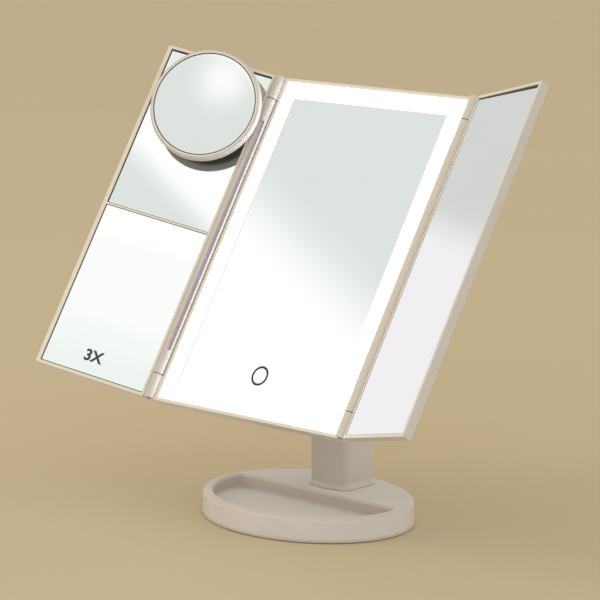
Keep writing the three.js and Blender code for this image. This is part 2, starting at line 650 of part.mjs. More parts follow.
function rearCover() {
  const span = housingHalfWidth + CUT_OVERRUN;
  const shellOf = wall => solid(raised(coverPlan(wall), headBottom - CUT_OVERRUN, headTop + CUT_OVERRUN))
    .intersect(solid(sideways(coverSide(wall), -span, span)));
  const inside = coverBackW + HOUSING_WALL;
  const bayOuter = bayHalfWidth + BAY_WALL;
  const bayOutline = roundedRectangle(-bayOuter, bayV - BAY_WALL, bayOuter, bayTopV + BAY_WALL, BAY_CORNER);
  const bulge = facing(bayOutline, doorBackW, inside + BAY_EDGE, BAY_EDGE);
  const bayBox = (reach, w0, w1) => block(-bayHalfWidth - reach, bayHalfWidth + reach,
    bayV - reach, bayTopV + reach, w0, w1);
  const bayInner = bayBox(BAY_INNER_WALL, inside - JOIN_OVERLAP, -BAY_FLOOR + BAY_FLOOR_SHEET);
  const bay = bayBox(0, doorBackW - CUT_OVERRUN, -BAY_FLOOR);
  const doorRun = (reach, w0) => block(-bayHalfWidth - reach, bayHalfWidth + reach,
    bayV - GAP, bayTopV + BAY_WALL + CUT_OVERRUN, w0, doorFrontW + GAP);
  const doorway = doorRun(GAP, doorBackW - CUT_OVERRUN);
  const rails = doorRun(DOOR_TONGUE + GAP, doorFrontW - DOOR_TONGUE_THICKNESS - GAP);
  let body = join(cut(shellOf(0), shellOf(HOUSING_WALL)), solid(bulge), solid(bayInner));
  body = cut(body, solid(bay), solid(doorway), solid(rails));
  for (const su of [-1, 1]) {
    for (const sv of [-1, 1]) {
      const boss = frontways(BOARD_BOSS_RADIUS, inside - JOIN_OVERLAP, -BOARD_BACK - GAP, BORE_STEPS);
      body = join(body, solid(boss.translate(su * (BOARD_WIDTH / 2 - BOARD_BOSS_INSET), 0,
        boardV + sv * (BOARD_HEIGHT / 2 - BOARD_BOSS_INSET))));
    }
  }
  const throughBack = (u, width, height) => solid(block(u - width / 2, u + width / 2,
    boardV - height / 2, boardV + height / 2, coverBackW - CUT_OVERRUN, inside + CUT_OVERRUN));
  return cut(body,
    throughBack(SOCKET_U, SOCKET_WIDTH + 2 * GAP, SOCKET_HEIGHT + 2 * GAP),
    throughBack(SWITCH_U, SWITCH_SLOT_WIDTH, SWITCH_SLOT_HEIGHT));
}

// Opal ring that glows round the mirror
function lightDiffuser() {
  const half = GLASS_WIDTH / 2 - GAP;
  const inner = GLASS_WIDTH / 2 - LIT_BORDER;
  return cut(
    solid(block(-half, half, GAP, GLASS_HEIGHT - GAP, -GLASS_THICKNESS, 0)),
    solid(block(-inner, inner, LIT_BORDER, GLASS_HEIGHT - LIT_BORDER,
      -GLASS_THICKNESS - CUT_OVERRUN, CUT_OVERRUN)),
  );
}

// White tray behind the glass: a channel for the light strips round a raised middle
function lightTray() {
  const half = GLASS_WIDTH / 2 - GAP;
  const inner = GLASS_WIDTH / 2 - LIT_BORDER - GAP;
  const top = -GLASS_THICKNESS - GAP;
  const floorBack = -CHANNEL_DEPTH - CHANNEL_FLOOR;
  const over = top + CUT_OVERRUN;
  const frameOf = (halfWidth, inset, w0, w1) => (
    solid(block(-halfWidth, halfWidth, inset, GLASS_HEIGHT - inset, w0, w1)));
  const innerInset = LIT_BORDER + GAP;
  const channel = cut(
    frameOf(half - TRAY_SHEET, GAP + TRAY_SHEET, -CHANNEL_DEPTH, over),
    frameOf(inner, innerInset, -CHANNEL_DEPTH - CUT_OVERRUN, over + CUT_OVERRUN),
  );
  const hollow = frameOf(inner - TRAY_SHEET, innerInset + TRAY_SHEET,
    floorBack - CUT_OVERRUN, top - TRAY_SHEET);
  const reach = TOUCH_BOARD / 2 + GAP;
  const touchWindow = solid(block(-reach, reach, TOUCH_V - reach, TOUCH_V + reach, floorBack, over));
  return cut(frameOf(half, GAP, floorBack, top), channel, hollow, touchWindow);
}

// A light strip: a narrow board with a row of light chips on its front
function lightStrip(u, v, length, upwards) {
  const back = -CHANNEL_DEPTH + GAP;
  const front = back + STRIP_THICKNESS;
  const slab = (along, across, w0, w1, shift) => (upwards
    ? block(u - across / 2, u + across / 2, v + shift - along / 2, v + shift + along / 2, w0, w1)
    : block(u + shift - along / 2, u + shift + along / 2, v - across / 2, v + across / 2, w0, w1));
  let strip = solid(slab(length, STRIP_WIDTH, back, front, 0));
  const chips = Math.floor((length - 2 * STRIP_END_MARGIN) / CHIP_PITCH) + 1;
  for (let i = 0; i < chips; i += 1) {
    const shift = (i - (chips - 1) / 2) * CHIP_PITCH;
    const chip = slab(CHIP_LENGTH, CHIP_WIDTH, front - STRIP_THICKNESS / 2, front + CHIP_HEIGHT, shift);
    strip = join(strip, solid(chip));
  }
  return strip;
}

function controlBoard() {
  const front = -BOARD_BACK + BOARD_THICKNESS;
  const slab = (width, height, w0, w1) => solid(block(-width / 2, width / 2,
    boardV - height / 2, boardV + height / 2, w0, w1));
  return join(slab(BOARD_WIDTH, BOARD_HEIGHT, -BOARD_BACK, front),
    slab(CONTROL_CHIP, CONTROL_CHIP, front - BOARD_THICKNESS / 2, front + CONTROL_CHIP_HEIGHT));
}

function powerSocket() {
  const back = coverBackW + GAP;
  const front = -BOARD_BACK - GAP;
  const slab = (width, height, w0, w1) => solid(block(SOCKET_U - width / 2, SOCKET_U + width / 2,
    boardV - height / 2, boardV + height / 2, w0, w1));
  const mouth = slab(SOCKET_WIDTH - 2 * SOCKET_SHEET, SOCKET_HEIGHT - 2 * SOCKET_SHEET,
    back - CUT_OVERRUN, front - SOCKET_END);
  const tongue = slab(SOCKET_WIDTH / 2, SOCKET_TONGUE, back + SOCKET_TONGUE_INSET, front - SOCKET_END / 2);
  return join(cut(slab(SOCKET_WIDTH, SOCKET_HEIGHT, back, front), mouth), tongue);
}

// Sliding power switch: a ribbed knob in the slot with a flange behind it
function switchSlider() {
  const height = SWITCH_SLOT_HEIGHT - 2 * GAP;
  const flangeFront = coverBackW + HOUSING_WALL + GAP;
  const knobBack = coverBackW - SWITCH_PROUD;
  const slab = (u, width, tall, w0, w1) => solid(block(u - width / 2, u + width / 2,
    boardV - tall / 2, boardV + tall / 2, w0, w1));
  let slider = join(
    slab(switchRestU, SWITCH_KNOB_WIDTH, height, knobBack, flangeFront + SWITCH_FLANGE / 2),
    slab(switchRestU, SWITCH_SLOT_WIDTH + SWITCH_TRAVEL, height + 2 * SWITCH_FLANGE_REACH,
      flangeFront, flangeFront + SWITCH_FLANGE),
  );
  for (const shift of [-1, 0, 1]) {
    slider = join(slider, slab(switchRestU + shift * SWITCH_RIB_PITCH, SWITCH_RIB,
      height - 2 * SWITCH_RIB_PROUD, knobBack - SWITCH_RIB_PROUD, knobBack + SWITCH_RIB_PROUD));
  }
  return slider;
}

function batteryCell(index) {
  const u = (index - (CELL_COUNT - 1) / 2) * CELL_PITCH;
  const up = index % 2 === 0;
  const v0 = bayV + BAY_END_ROOM + (up ? 0 : CELL_NUB);
  const can = upright(CELL_RADIUS, v0, v0 + CELL_LENGTH);
  const nub = up
    ? upright(CELL_NUB_RADIUS, v0 + CELL_LENGTH - JOIN_OVERLAP, v0 + CELL_LENGTH + CELL_NUB, BORE_STEPS)
    : upright(CELL_NUB_RADIUS, v0 - CELL_NUB, v0 + JOIN_OVERLAP, BORE_STEPS);
  return join(solid(can), solid(nub)).translate([u, -cellAxisW, 0]);
}

// A contact strip across one end of the bay, with a pressed dome for each cell
function contactStrip(atTop) {
  const side = atTop ? 1 : -1;
  const wall = atTop ? bayTopV - GAP : bayV + GAP;
  const inner = wall - side * CONTACT_THICKNESS;
  const reach = bayHalfWidth - CONTACT_INSET;
  let strip = solid(block(-reach, reach, Math.min(wall, inner), Math.max(wall, inner),
    cellAxisW - CONTACT_HEIGHT / 2, cellAxisW + CONTACT_HEIGHT / 2));
  const foot = wall - side * CONTACT_THICKNESS / 2;
  const tip = inner - side * CONTACT_DOME;
  const [topRadius, bottomRadius] = atTop
    ? [CONTACT_DOME_FOOT, CONTACT_DOME_TIP] : [CONTACT_DOME_TIP, CONTACT_DOME_FOOT];
  for (let i = 0; i < CELL_COUNT; i += 1) {
    const u = (i - (CELL_COUNT - 1) / 2) * CELL_PITCH;
    const dome = new THREE.CylinderGeometry(topRadius, bottomRadius, Math.abs(foot - tip), BORE_STEPS)
      .rotateX(Math.PI / 2).translate(u, -cellAxisW, (foot + tip) / 2);
    strip = join(strip, solid(dome));
  }
  return strip;
}

function batteryDoor() {
  const top = bayTopV + BAY_WALL;
  const sheet = block(-bayHalfWidth, bayHalfWidth, bayV, top, doorBackW, doorFrontW);
  const tongues = block(-bayHalfWidth - DOOR_TONGUE, bayHalfWidth + DOOR_TONGUE, bayV, bayTopV,
    doorFrontW - DOOR_TONGUE_THICKNESS, doorFrontW);
  let door = join(solid(sheet), solid(tongues));
  for (let i = 0; i < DOOR_GRIP_RIBS; i += 1) {
    const v = top - DOOR_GRIP_DROP - i * DOOR_GRIP_PITCH;
    door = join(door, solid(block(-DOOR_GRIP_LENGTH / 2, DOOR_GRIP_LENGTH / 2,
      v - DOOR_RIB / 2, v + DOOR_RIB / 2, doorBackW - DOOR_RIB_PROUD, doorBackW + DOOR_RIB_PROUD)));
  }
  return door;
}

// Wings, drawn outwards from the hinge axis: side -1 is the left wing
function wingBox(side, r0, r1, v0, v1, n0, n1) {
  return block(Math.min(side * r0, side * r1), Math.max(side * r0, side * r1), v0, v1, n0, n1);
}

function wingFrame(side, divided) {
  const glassEnd = WING_GLASS_START + WING_GLASS_WIDTH;
  const clearOfKnuckle = BARREL_RADIUS + SEAM;
  const lipTop = WING_LIP_PROUD - WING_GLASS_SET_BACK;
  const low = seamLow + SEAM / 2;
  const high = seamHigh - SEAM / 2;
  const glassBack = -WING_GLASS_SET_BACK - GLASS_THICKNESS - GAP;
  const ledgeBack = glassBack - WING_LEDGE_THICKNESS;
  const coverSeat = Math.min(-WING_DEPTH + WING_COVER_THICKNESS + GAP, ledgeBack);
  const underBack = -WING_DEPTH - CUT_OVERRUN;
  const outline = roundedRectangle(Math.min(side * clearOfKnuckle, side * wingReach), headBottom,
    Math.max(side * clearOfKnuckle, side * wingReach), headTop, WING_CORNER);
  const part = (r0, r1, v0, v1, n0, n1) => solid(wingBox(side, r0, r1, v0, v1, n0, n1));
  const slab = solid(facing(outline, -WING_DEPTH, lipTop, WING_EDGE));
  const barrel = solid(upright(BARREL_RADIUS, low, high, BARREL_STEPS));
  const web = part(WING_WEB_START, clearOfKnuckle + JOIN_OVERLAP, low, high,
    -WING_DEPTH + WING_EDGE, lipTop - WING_EDGE);
  let frame = cut(join(slab, barrel, web),
    part(WING_GLASS_START, glassEnd, 0, GLASS_HEIGHT, glassBack, lipTop + CUT_OVERRUN),
    part(WING_GLASS_START + WING_LEDGE, glassEnd - WING_LEDGE, WING_LEDGE, GLASS_HEIGHT - WING_LEDGE,
      underBack, glassBack + CUT_OVERRUN),
    part(WING_GLASS_START, glassEnd, 0, GLASS_HEIGHT, underBack, coverSeat));
  if (divided) {
    frame = join(frame, part(WING_GLASS_START - JOIN_OVERLAP, glassEnd + JOIN_OVERLAP,
      DIVIDER_V - DIVIDER_WIDTH / 2, DIVIDER_V + DIVIDER_WIDTH / 2, ledgeBack, lipTop - DIVIDER_BELOW_LIP));
  }
  const bore = PIN_RADIUS + PIN_CLEARANCE;
  return cut(frame,
    solid(upright(bore, low - CUT_OVERRUN, low + PIN_IN_BARREL + PIN_CLEARANCE, BORE_STEPS)),
    solid(upright(bore, high - PIN_IN_BARREL - PIN_CLEARANCE, high + CUT_OVERRUN, BORE_STEPS)),
    solid(barrelGroove(side)));
}

// The long round-ended groove along the barrel, turned inwards from the front
function barrelGroove(side) {
  const middle = (headBottom + headTop) / 2;
  const slot = roundEndedSlot(GROOVE_WIDTH, middle - GROOVE_LENGTH / 2, middle + GROOVE_LENGTH / 2);
  return facing(slot, BARREL_RADIUS - GROOVE_DEPTH, BARREL_RADIUS + CUT_OVERRUN)
    .rotateZ(-side * radians(GROOVE_ANGLE));
}

function wingParts(side, name, divided) {
  const group = new THREE.Group();
  const start = WING_GLASS_START + GAP;
  const end = WING_GLASS_START + WING_GLASS_WIDTH - GAP;
  const pane = (v0, v1, back, thickness) => wingBox(side, start, end, v0, v1, back, back + thickness);
  const glass = (v0, v1) => pane(v0, v1, -WING_GLASS_SET_BACK - GLASS_THICKNESS, GLASS_THICKNESS);
  group.add(piece(`${name}_wing_frame`, wingFrame(side, divided), warmPlastic));
  group.add(piece(`${name}_wing_cover`,
    pane(GAP, GLASS_HEIGHT - GAP, -WING_DEPTH, WING_COVER_THICKNESS), warmPlastic));
  if (divided) {
    const halfBar = DIVIDER_WIDTH / 2 + GAP;
    group.add(piece(`${name}_lower_mirror`, glass(GAP, DIVIDER_V - halfBar), mirrorGlass));
    group.add(piece(`${name}_upper_mirror`, glass(DIVIDER_V + halfBar, GLASS_HEIGHT - GAP), mirrorGlass));
  } else {
    group.add(piece(`${name}_mirror`, glass(GAP, GLASS_HEIGHT - GAP), mirrorGlass));
  }
  group.position.set(side * hingeU, -HINGE_W, 0);
  group.rotation.z = -side * radians(side < 0 ? LEFT_FOLD : RIGHT_FOLD);
  return group;
}

function hingePin(atTop) {
  return atTop
    ? upright(PIN_RADIUS, seamHigh - PIN_IN_BARREL, headTop - TOP_PIN_COVER - GAP, BORE_STEPS)
    : upright(PIN_RADIUS, headBottom + PIN_RECESS, seamLow + PIN_IN_BARREL, BORE_STEPS);
}

// Magnifier, drawn from the centre of its front rim, and turned about the ball of its stud
function magnifierHousing() {
  const outer = MAGNIFIER_RADIUS;
  const edge = MAGNIFIER_EDGE;
  const slope = edge * (1 - Math.SQRT1_2);
  const back = -MAGNIFIER_DEPTH;
  const floor = back + MAGNIFIER_SHEET;
  const glassSeat = -MAGNIFIER_GLASS_SET_BACK - MAGNIFIER_GLASS - GAP;
  const ledgeBack = glassSeat - MAGNIFIER_LEDGE_SHEET;
  const glassWall = outer - MAGNIFIER_LIP;
  const ledge = glassWall - MAGNIFIER_LEDGE;
  const cavityWall = outer - MAGNIFIER_SHEET;
  const socketOuter = BALL_RADIUS + SOCKET_WALL;
  const profile = [
    [0, back], [outer - edge, back], [outer - slope, back + slope], [outer, back + edge],
    [outer, -edge], [outer - slope, -slope], [outer - edge, 0], [glassWall, 0],
    [glassWall, glassSeat], [ledge, glassSeat], [ledge, ledgeBack], [cavityWall, ledgeBack],
    [cavityWall, floor], [socketOuter + SOCKET_TAPER, floor], [socketOuter, ledgeBack], [0, ledgeBack],
  ];
  const socket = new THREE.SphereGeometry(BALL_RADIUS + PIN_CLEARANCE, BALL_STEPS, BALL_STEPS / 2)
    .translate(0, MAGNIFIER_DEPTH - BALL_SINK, 0);
  return cut(solid(turned(profile, MAGNIFIER_STEPS)), solid(socket));
}

function magnifierMirror() {
  const radius = MAGNIFIER_RADIUS - MAGNIFIER_LIP - GAP;
  const front = -MAGNIFIER_GLASS_SET_BACK;
  const face = Array.from({ length: MAGNIFIER_FACE_STEPS + 1 }, (_, i) => {
    const share = 1 - i / MAGNIFIER_FACE_STEPS;
    return [radius * share, front - MAGNIFIER_SAG * (1 - share * share)];
  });
  return turned([[0, front - MAGNIFIER_GLASS], [radius, front - MAGNIFIER_GLASS], ...face], MAGNIFIER_STEPS);
}

function magnifierParts() {
  const group = new THREE.Group();
  const glassPlane = -WING_GLASS_SET_BACK;
  const tilt = radians(MAGNIFIER_TILT);
  const ballBack = MAGNIFIER_DEPTH - BALL_SINK;
  const ballV = MAGNIFIER_V + ballBack * Math.sin(tilt);
  const ballN = glassPlane + MAGNIFIER_STAND_OFF - ballBack * Math.cos(tilt);
  const cupFoot = glassPlane + GAP;
  const cupTop = cupFoot + CUP_HEIGHT;
  const cup = turned([[0, cupFoot], [CUP_RADIUS, cupFoot], [CUP_RADIUS, cupFoot + CUP_EDGE],
    [CUP_SHOULDER_RADIUS, cupTop - CUP_SHOULDER_DROP], [CUP_HUB_RADIUS, cupTop], [0, cupTop]], ROUND_STEPS);
  const footBase = cupTop + GAP;
  const stud = join(
    solid(turned([[0, footBase], [STUD_FOOT_RADIUS, footBase], [STUD_FOOT_RADIUS, footBase + STUD_FOOT],
      [STUD_RADIUS, footBase + STUD_FOOT], [STUD_RADIUS, ballN], [0, ballN]], BALL_STEPS)),
    solid(new THREE.SphereGeometry(BALL_RADIUS, BALL_STEPS, BALL_STEPS / 2).translate(0, -ballN, 0)),
  );
  const mount = new THREE.Group();
  mount.add(piece('suction_cup', solid(cup), rubber));
  mount.add(piece('ball_stud', stud, steel));
  mount.position.set(-MAGNIFIER_R, 0, ballV);
  const swivel = new THREE.Group();
  const housing = piece('magnifier_housing', magnifierHousing(), warmPlastic);
  const mirror = piece('magnifier_mirror', solid(magnifierMirror()), mirrorGlass);
  for (const mesh of [housing, mirror]) {
    mesh.position.set(0, -ballBack, 0);
    swivel.add(mesh);
  }
  swivel.position.set(-MAGNIFIER_R, -ballN, ballV);
  swivel.rotation.x = tilt;
  group.add(mount, swivel);
  return group;
}

// Head: everything that tilts on the post
function headParts() {
  const head = new THREE.Group();
  const inner = GLASS_WIDTH / 2 - LIT_BORDER - GAP;
  head.add(piece('centre_front_frame', bezel(), warmPlastic));
  head.add(piece('centre_rear_cover', rearCover(), warmPlastic));
  const innerInset = LIT_BORDER + GAP;
  head.add(piece('centre_mirror',
    block(-inner, inner, innerInset, GLASS_HEIGHT - innerInset, -GLASS_THICKNESS, 0), mirrorGlass));
  head.add(piece('light_diffuser', lightDiffuser(), opal));
  head.add(piece('light_channel_tray', lightTray(), whitePlastic));
  const stripU = GLASS_WIDTH / 2 - LIT_BORDER / 2;
  const stripTopV = GLASS_HEIGHT - LIT_BORDER / 2;
  const tallStrip = GLASS_HEIGHT - 2 * LIT_BORDER;
  const wideStrip = GLASS_WIDTH - 2 * STRIP_END_MARGIN;
  head.add(piece('light_strip_left', lightStrip(-stripU, GLASS_HEIGHT / 2, tallStrip, true), boardGreen));
  head.add(piece('light_strip_right', lightStrip(stripU, GLASS_HEIGHT / 2, tallStrip, true), boardGreen));
  head.add(piece('light_strip_top', lightStrip(0, stripTopV, wideStrip, false), boardGreen));
  head.add(piece('light_strip_bottom', lightStrip(0, LIT_BORDER / 2, wideStrip, false), boardGreen));
  const touchFront = -GLASS_THICKNESS - GAP;
  const touchHalf = TOUCH_BOARD / 2;
  head.add(piece('touch_sensor_board', block(-touchHalf, touchHalf, TOUCH_V - touchHalf, TOUCH_V + touchHalf,
    touchFront - TOUCH_BOARD_THICKNESS, touchFront), boardGreen));
  head.add(piece('control_board', controlBoard(), boardGreen));
  head.add(piece('power_socket', powerSocket(), steel));
  head.add(piece('power_switch_slider', switchSlider(), warmPlastic));
  for (let i = 0; i < CELL_COUNT; i += 1) {
    head.add(piece(`battery_cell_${i + 1}`, batteryCell(i), cellWrap));
  }
  head.add(piece('battery_contacts_top', contactStrip(true), steel));
  head.add(piece('battery_contacts_bottom', contactStrip(false), steel));
  head.add(piece('battery_door', batteryDoor(), warmPlastic));
  head.add(tiltParts());
  for (const [name, side] of [['left', -1], ['right', 1]]) {
    for (const [end, atTop] of [['top', true], ['bottom', false]]) {
      const pin = piece(`hinge_pin_${name}_${end}`, hingePin(atTop), steel);
      pin.position.set(side * hingeU, -HINGE_W, 0);
      head.add(pin);
    }
  }
  const leftWing = wingParts(-1, 'left', true);
  leftWing.add(magnifierParts());
  head.add(leftWing, wingParts(1, 'right', false));

  const tilt = radians(HEAD_TILT);
  head.rotation.x = -tilt;
  head.position.set(0,
    POST_Y - (PIVOT_V * Math.sin(tilt) + PIVOT_DEPTH * Math.cos(tilt)),
    PIVOT_HEIGHT - (PIVOT_V * Math.cos(tilt) - PIVOT_DEPTH * Math.sin(tilt)));
  return head;
}

const mirror = new THREE.Group();
mirror.add(baseParts());
mirror.add(piece('post_shell', postShell(), warmPlastic));
mirror.add(piece('post_screw_left', postScrew(-1), steel));
mirror.add(piece('post_screw_right', postScrew(1), steel));
mirror.add(headParts());

export default mirror;
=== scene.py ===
# The looks of the trifold vanity mirror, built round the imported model.
# Shapes are drawn in millimetres in the part they belong to, and Blender gets them in metres.

import json
from functools import partial
from math import acos, asin, atan2, cos, degrees, hypot, pi, radians, sin

import bmesh
import bpy
from mathutils import Matrix, Vector


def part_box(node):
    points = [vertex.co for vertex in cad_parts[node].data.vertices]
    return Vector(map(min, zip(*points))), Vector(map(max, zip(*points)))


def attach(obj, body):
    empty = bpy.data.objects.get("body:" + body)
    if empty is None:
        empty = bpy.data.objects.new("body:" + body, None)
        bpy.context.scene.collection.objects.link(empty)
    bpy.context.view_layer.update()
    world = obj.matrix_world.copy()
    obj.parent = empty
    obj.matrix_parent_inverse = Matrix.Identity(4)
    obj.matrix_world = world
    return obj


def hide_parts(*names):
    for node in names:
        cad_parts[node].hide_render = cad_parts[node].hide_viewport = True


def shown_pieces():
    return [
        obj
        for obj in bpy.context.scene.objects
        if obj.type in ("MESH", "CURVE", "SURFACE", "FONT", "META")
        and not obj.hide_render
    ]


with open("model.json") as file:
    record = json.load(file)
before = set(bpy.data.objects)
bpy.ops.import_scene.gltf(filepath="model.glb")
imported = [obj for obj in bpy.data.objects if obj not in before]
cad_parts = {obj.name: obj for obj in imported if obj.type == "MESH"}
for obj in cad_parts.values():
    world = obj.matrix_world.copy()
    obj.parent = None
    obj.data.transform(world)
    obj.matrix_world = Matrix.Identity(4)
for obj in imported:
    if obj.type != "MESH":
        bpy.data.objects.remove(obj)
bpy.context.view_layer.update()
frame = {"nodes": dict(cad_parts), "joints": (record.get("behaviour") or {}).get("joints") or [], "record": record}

scene = bpy.context.scene
scene.view_settings.view_transform = "Standard"
MM = 0.001

# Base and post
RIM_RADIUS = 3.6
RIM_DRAFT = 0.5
TRAY_RIM = 8.5
TRAY_BACK_Y = 9
TRAY_DEPTH = 11.4
TRAY_FLOOR = 2.4
TRAY_EDGE_RADIUS = 2.4
TRAY_FLOOR_RADIUS = 2
TRAY_CORNER = 2.6
BASE_WALL = 2.6
BASE_LIFT = 0.8
PAD_GAP = 0.3
PAD_EDGE = 0.5
POST_WIDTH = 39.3
POST_DEPTH = 37.4
POST_BOW = 2.5
POST_CORNER = 5.8
POST_WALL = 2.6
FOOT_FLARE = 2
FOOT_HEIGHT = 4.6
FOOT_BAND = 0.2
FOOT_HOLLOW = 1.7
KNUCKLE_RADIUS = 12
SHOULDER_DROP = 34
POST_CAVITY_DROP = 40
AXLE_BORE = 3.3

# Centre panel
GLASS_HALF = 93.6
GLASS_HEIGHT = 275
GLASS_GAP = 0.3
LIT_BORDER = 14.6
SILVER_EDGE = 0.9
GLASS_THICKNESS = 2.8
FRAME_LIP = 2.5
LIP_PROUD = 0.6
OPENING_CORNER = 0.3
BEZEL_DEPTH = 6.6
SEAM = 0.3
HOUSING_HALF = 99
HOUSING_DEPTH = 13
HOUSING_WALL = 2.2
HOUSING_BEVEL = 13
HOUSING_END_BEVEL = 2.5
SIDE_BAND = 0.8

# Hinges
BARREL_RADIUS = 4.2
BARREL_EDGE = 0.25
CHANNEL_RADIUS = 5.4
BOTTOM_KNUCKLE = 20.0
TOP_KNUCKLE = 20.2
KNUCKLE_SEAM = 1.2
KNUCKLE_DOME = 0.9
KNUCKLE_FLAT = 0.45
PIN_BORE = 1.8
PIN_MOUTH = 2.3
PIN_MOUTH_DEPTH = 0.9
PIN_ROOF = 5
PIN_REACH = 12.3
GROOVE_LENGTH = 200
GROOVE_WIDTH = 2.8
GROOVE_DEPTH = 1.2
GROOVE_STRIP = 0.3
GROOVE_FLOOR = BARREL_RADIUS - GROOVE_DEPTH - GROOVE_STRIP
GROOVE_ANGLE = 23
WASHER_RADIUS = 3.9

# Wings
WING_START = 4.8
WING_GLASS_START = 6.7
WING_GLASS_END = 96.7
WING_REACH = 100.2
WING_LIP_PROUD = 0.8
WING_SET_BACK = 0.4
WING_DEPTH = 6.8
WING_COVER = 1.8
WING_LEDGE = 3
WING_LEDGE_THICKNESS = 1.1
WING_WEB = (3, 6)
DIVIDER_V = 136.8
DIVIDER_WIDTH = 1.6

# Magnifier
MAGNIFIER_TILT = 4.6
MAGNIFIER_FROM_BALL = 6.6
MAGNIFIER_RADIUS = 45.6
MAGNIFIER_DEPTH = 8.3
MAGNIFIER_WALL = 1.7
MAGNIFIER_LIP = 3.3
MAGNIFIER_EDGE = 1.8
MAGNIFIER_ROUND = (2.2, 3.4)
MAGNIFIER_SET_BACK = 0.5
MAGNIFIER_GLASS = 2
MAGNIFIER_SAG = 1.1
BALL_RADIUS = 3.2
BALL_SOCKET = 3.5
BALL_BOSS = (7.2, 6.2)

# Back of the head
BAY_HALF_WIDTH = 30.75
BAY_WALL = 4
BAY_FLOOR = 7.5
BAY_CORNER = 5
BAY_EDGE = 1.6
DOOR_CLEARANCE = 0.3
DOOR_TONGUE = 1.9
DOOR_TONGUE_THICKNESS = 0.9
DOOR_GRIP_RIBS = 4
DOOR_GRIP_DROP = 6
DOOR_GRIP_PITCH = 2.4
DOOR_GRIP_LENGTH = 18
DOOR_RIB = 1
DOOR_RIB_PROUD = 0.6
BOARD_V = 88
SOCKET_U = 22
SOCKET_HOLE = (8.2, 3.5)
SWITCH_U = -22
SWITCH_HOLE = (9, 4.4)
COVER_SCREW_ROWS = (12, 128, GLASS_HEIGHT - 12)
COVER_SCREW_INSET = 8
COVER_SCREW_HEAD = 2.6
COVER_SCREW_RECESS = 3.1
COVER_SCREW_SINK = 0.9
EAR_WIDTH = 5.3
EAR_RECESS = (5.6, 2.5)
FLANGE_WIDTH = 12
FLANGE_THICKNESS = 3
FLANGE_SCREW = (6.5, 6)

# Trim
TOUCH_RING_RADIUS = 8
TOUCH_RING_STROKE = 1.8
TOUCH_RING_V = 32.6
PRINT_THICKNESS = 0.08
MARK_PLACE = (-56.1, 14.8)
MARK_HEIGHT = 8.9
CAPITAL_SHARE = 0.70
MARK_WEIGHT = 0.42
# The dark lines round the mirrors are painted shade of the gaps at their edges.
GAP_SHADE_THICKNESS = 0.25
MAGNIFIER_GAP_SHADE = 0.7

# Camera
FOCAL_LENGTH = 179.53
SENSOR_WIDTH = 36
CAMERA_AZIMUTH = 43.423
CAMERA_ELEVATION = 10.678
CAMERA_ROLL = -0.259
CAMERA_PLACE = Vector((1.53529, -1.62978, 0.59247))

# Mesh making: a hair's breadth, how far a cut reaches past what it cuts, and the radius at a lathe's axis
HAIR = 0.01
CLEAR = 1
TIP = 0.05


def joint(name):
    return next(j for j in frame["joints"] if j["name"] == name)


def axes(x, y, z, origin):
    """The place whose local directions are x, y and z."""
    place = Matrix((x, y, z)).transposed().to_4x4()
    place.translation = origin
    return place


def local_box(name, place):
    """Lowest and highest corner of a CAD node in a place's own directions, in mm."""
    inverse = place.inverted()
    points = [inverse @ v.co for v in frame["nodes"][name].data.vertices]
    low, high = (Vector(end(p[i] for p in points) for i in range(3)) for end in (min, max))
    return low / MM, high / MM


# The head's own directions: u across, v up the glass and w out of it, from the middle of its lower edge
UP_GLASS = Vector(joint("left_wing_fold")["axis"]).normalized()
ACROSS = Vector((1, 0, 0))
OUTWARDS = ACROSS.cross(UP_GLASS)
ring_low, ring_high = local_box("light_diffuser", axes(ACROSS, UP_GLASS, OUTWARDS, Vector()))
HEAD = axes(ACROSS, UP_GLASS, OUTWARDS,
            (UP_GLASS * (ring_low.y - GLASS_GAP) + OUTWARDS * ring_high.z) * MM)
BASE = Matrix.Identity(4)


def wing_place(name, side):
    """A wing's directions: x in its plane, away from the hinge on the right wing, y up it, z out of it."""
    hinge = joint(name + "_wing_fold")
    fold = -radians(hinge["range_deg"][0])
    x = cos(fold) * ACROSS + side * sin(fold) * OUTWARDS
    pivot = Vector(hinge["pos_m"])
    return axes(x, UP_GLASS, x.cross(UP_GLASS), pivot - UP_GLASS * (pivot - HEAD.translation).dot(UP_GLASS))


LEFT_WING = wing_place("left", -1)
RIGHT_WING = wing_place("right", 1)
WINGS = (("left", -1, LEFT_WING), ("right", 1, RIGHT_WING))
BALL = Vector(joint("magnifier_tilt")["pos_m"])


def magnifier_place():
    x = Vector(joint("magnifier_tilt")["axis"]).normalized()
    out_of_wing = LEFT_WING.to_3x3() @ Vector((0, 0, 1))
    tilt = radians(MAGNIFIER_TILT)
    z = cos(tilt) * out_of_wing - sin(tilt) * UP_GLASS
    return axes(x, z.cross(x), z, BALL + z * MAGNIFIER_FROM_BALL * MM)


MAGNIFIER = magnifier_place()
CUP = axes(*(LEFT_WING.to_3x3() @ Vector(d) for d in ((1, 0, 0), (0, 1, 0), (0, 0, 1))), BALL)
HINGE_U, _, HINGE_W = (c / MM for c in HEAD.inverted() @ RIGHT_WING.translation)
PIVOT = Vector(joint("head_tilt")["pos_m"])
_, POST_Y, PIVOT_Z = (c / MM for c in PIVOT)
_, PIVOT_V, PIVOT_W = (c / MM for c in HEAD.inverted() @ PIVOT)
HEAD_LOW = -FRAME_LIP
HEAD_HIGH = GLASS_HEIGHT + FRAME_LIP
SEAM_LOW = HEAD_LOW + BOTTOM_KNUCKLE
SEAM_HIGH = HEAD_HIGH - TOP_KNUCKLE
BASE_HALF_WIDTH, BASE_HALF_DEPTH, BASE_TOP = (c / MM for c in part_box("base_shell")[1])


# Mesh making
def linked(name, data):
    """A new object that shows data."""
    made = bpy.data.objects.new(name, data)
    scene.collection.objects.link(made)
    return made


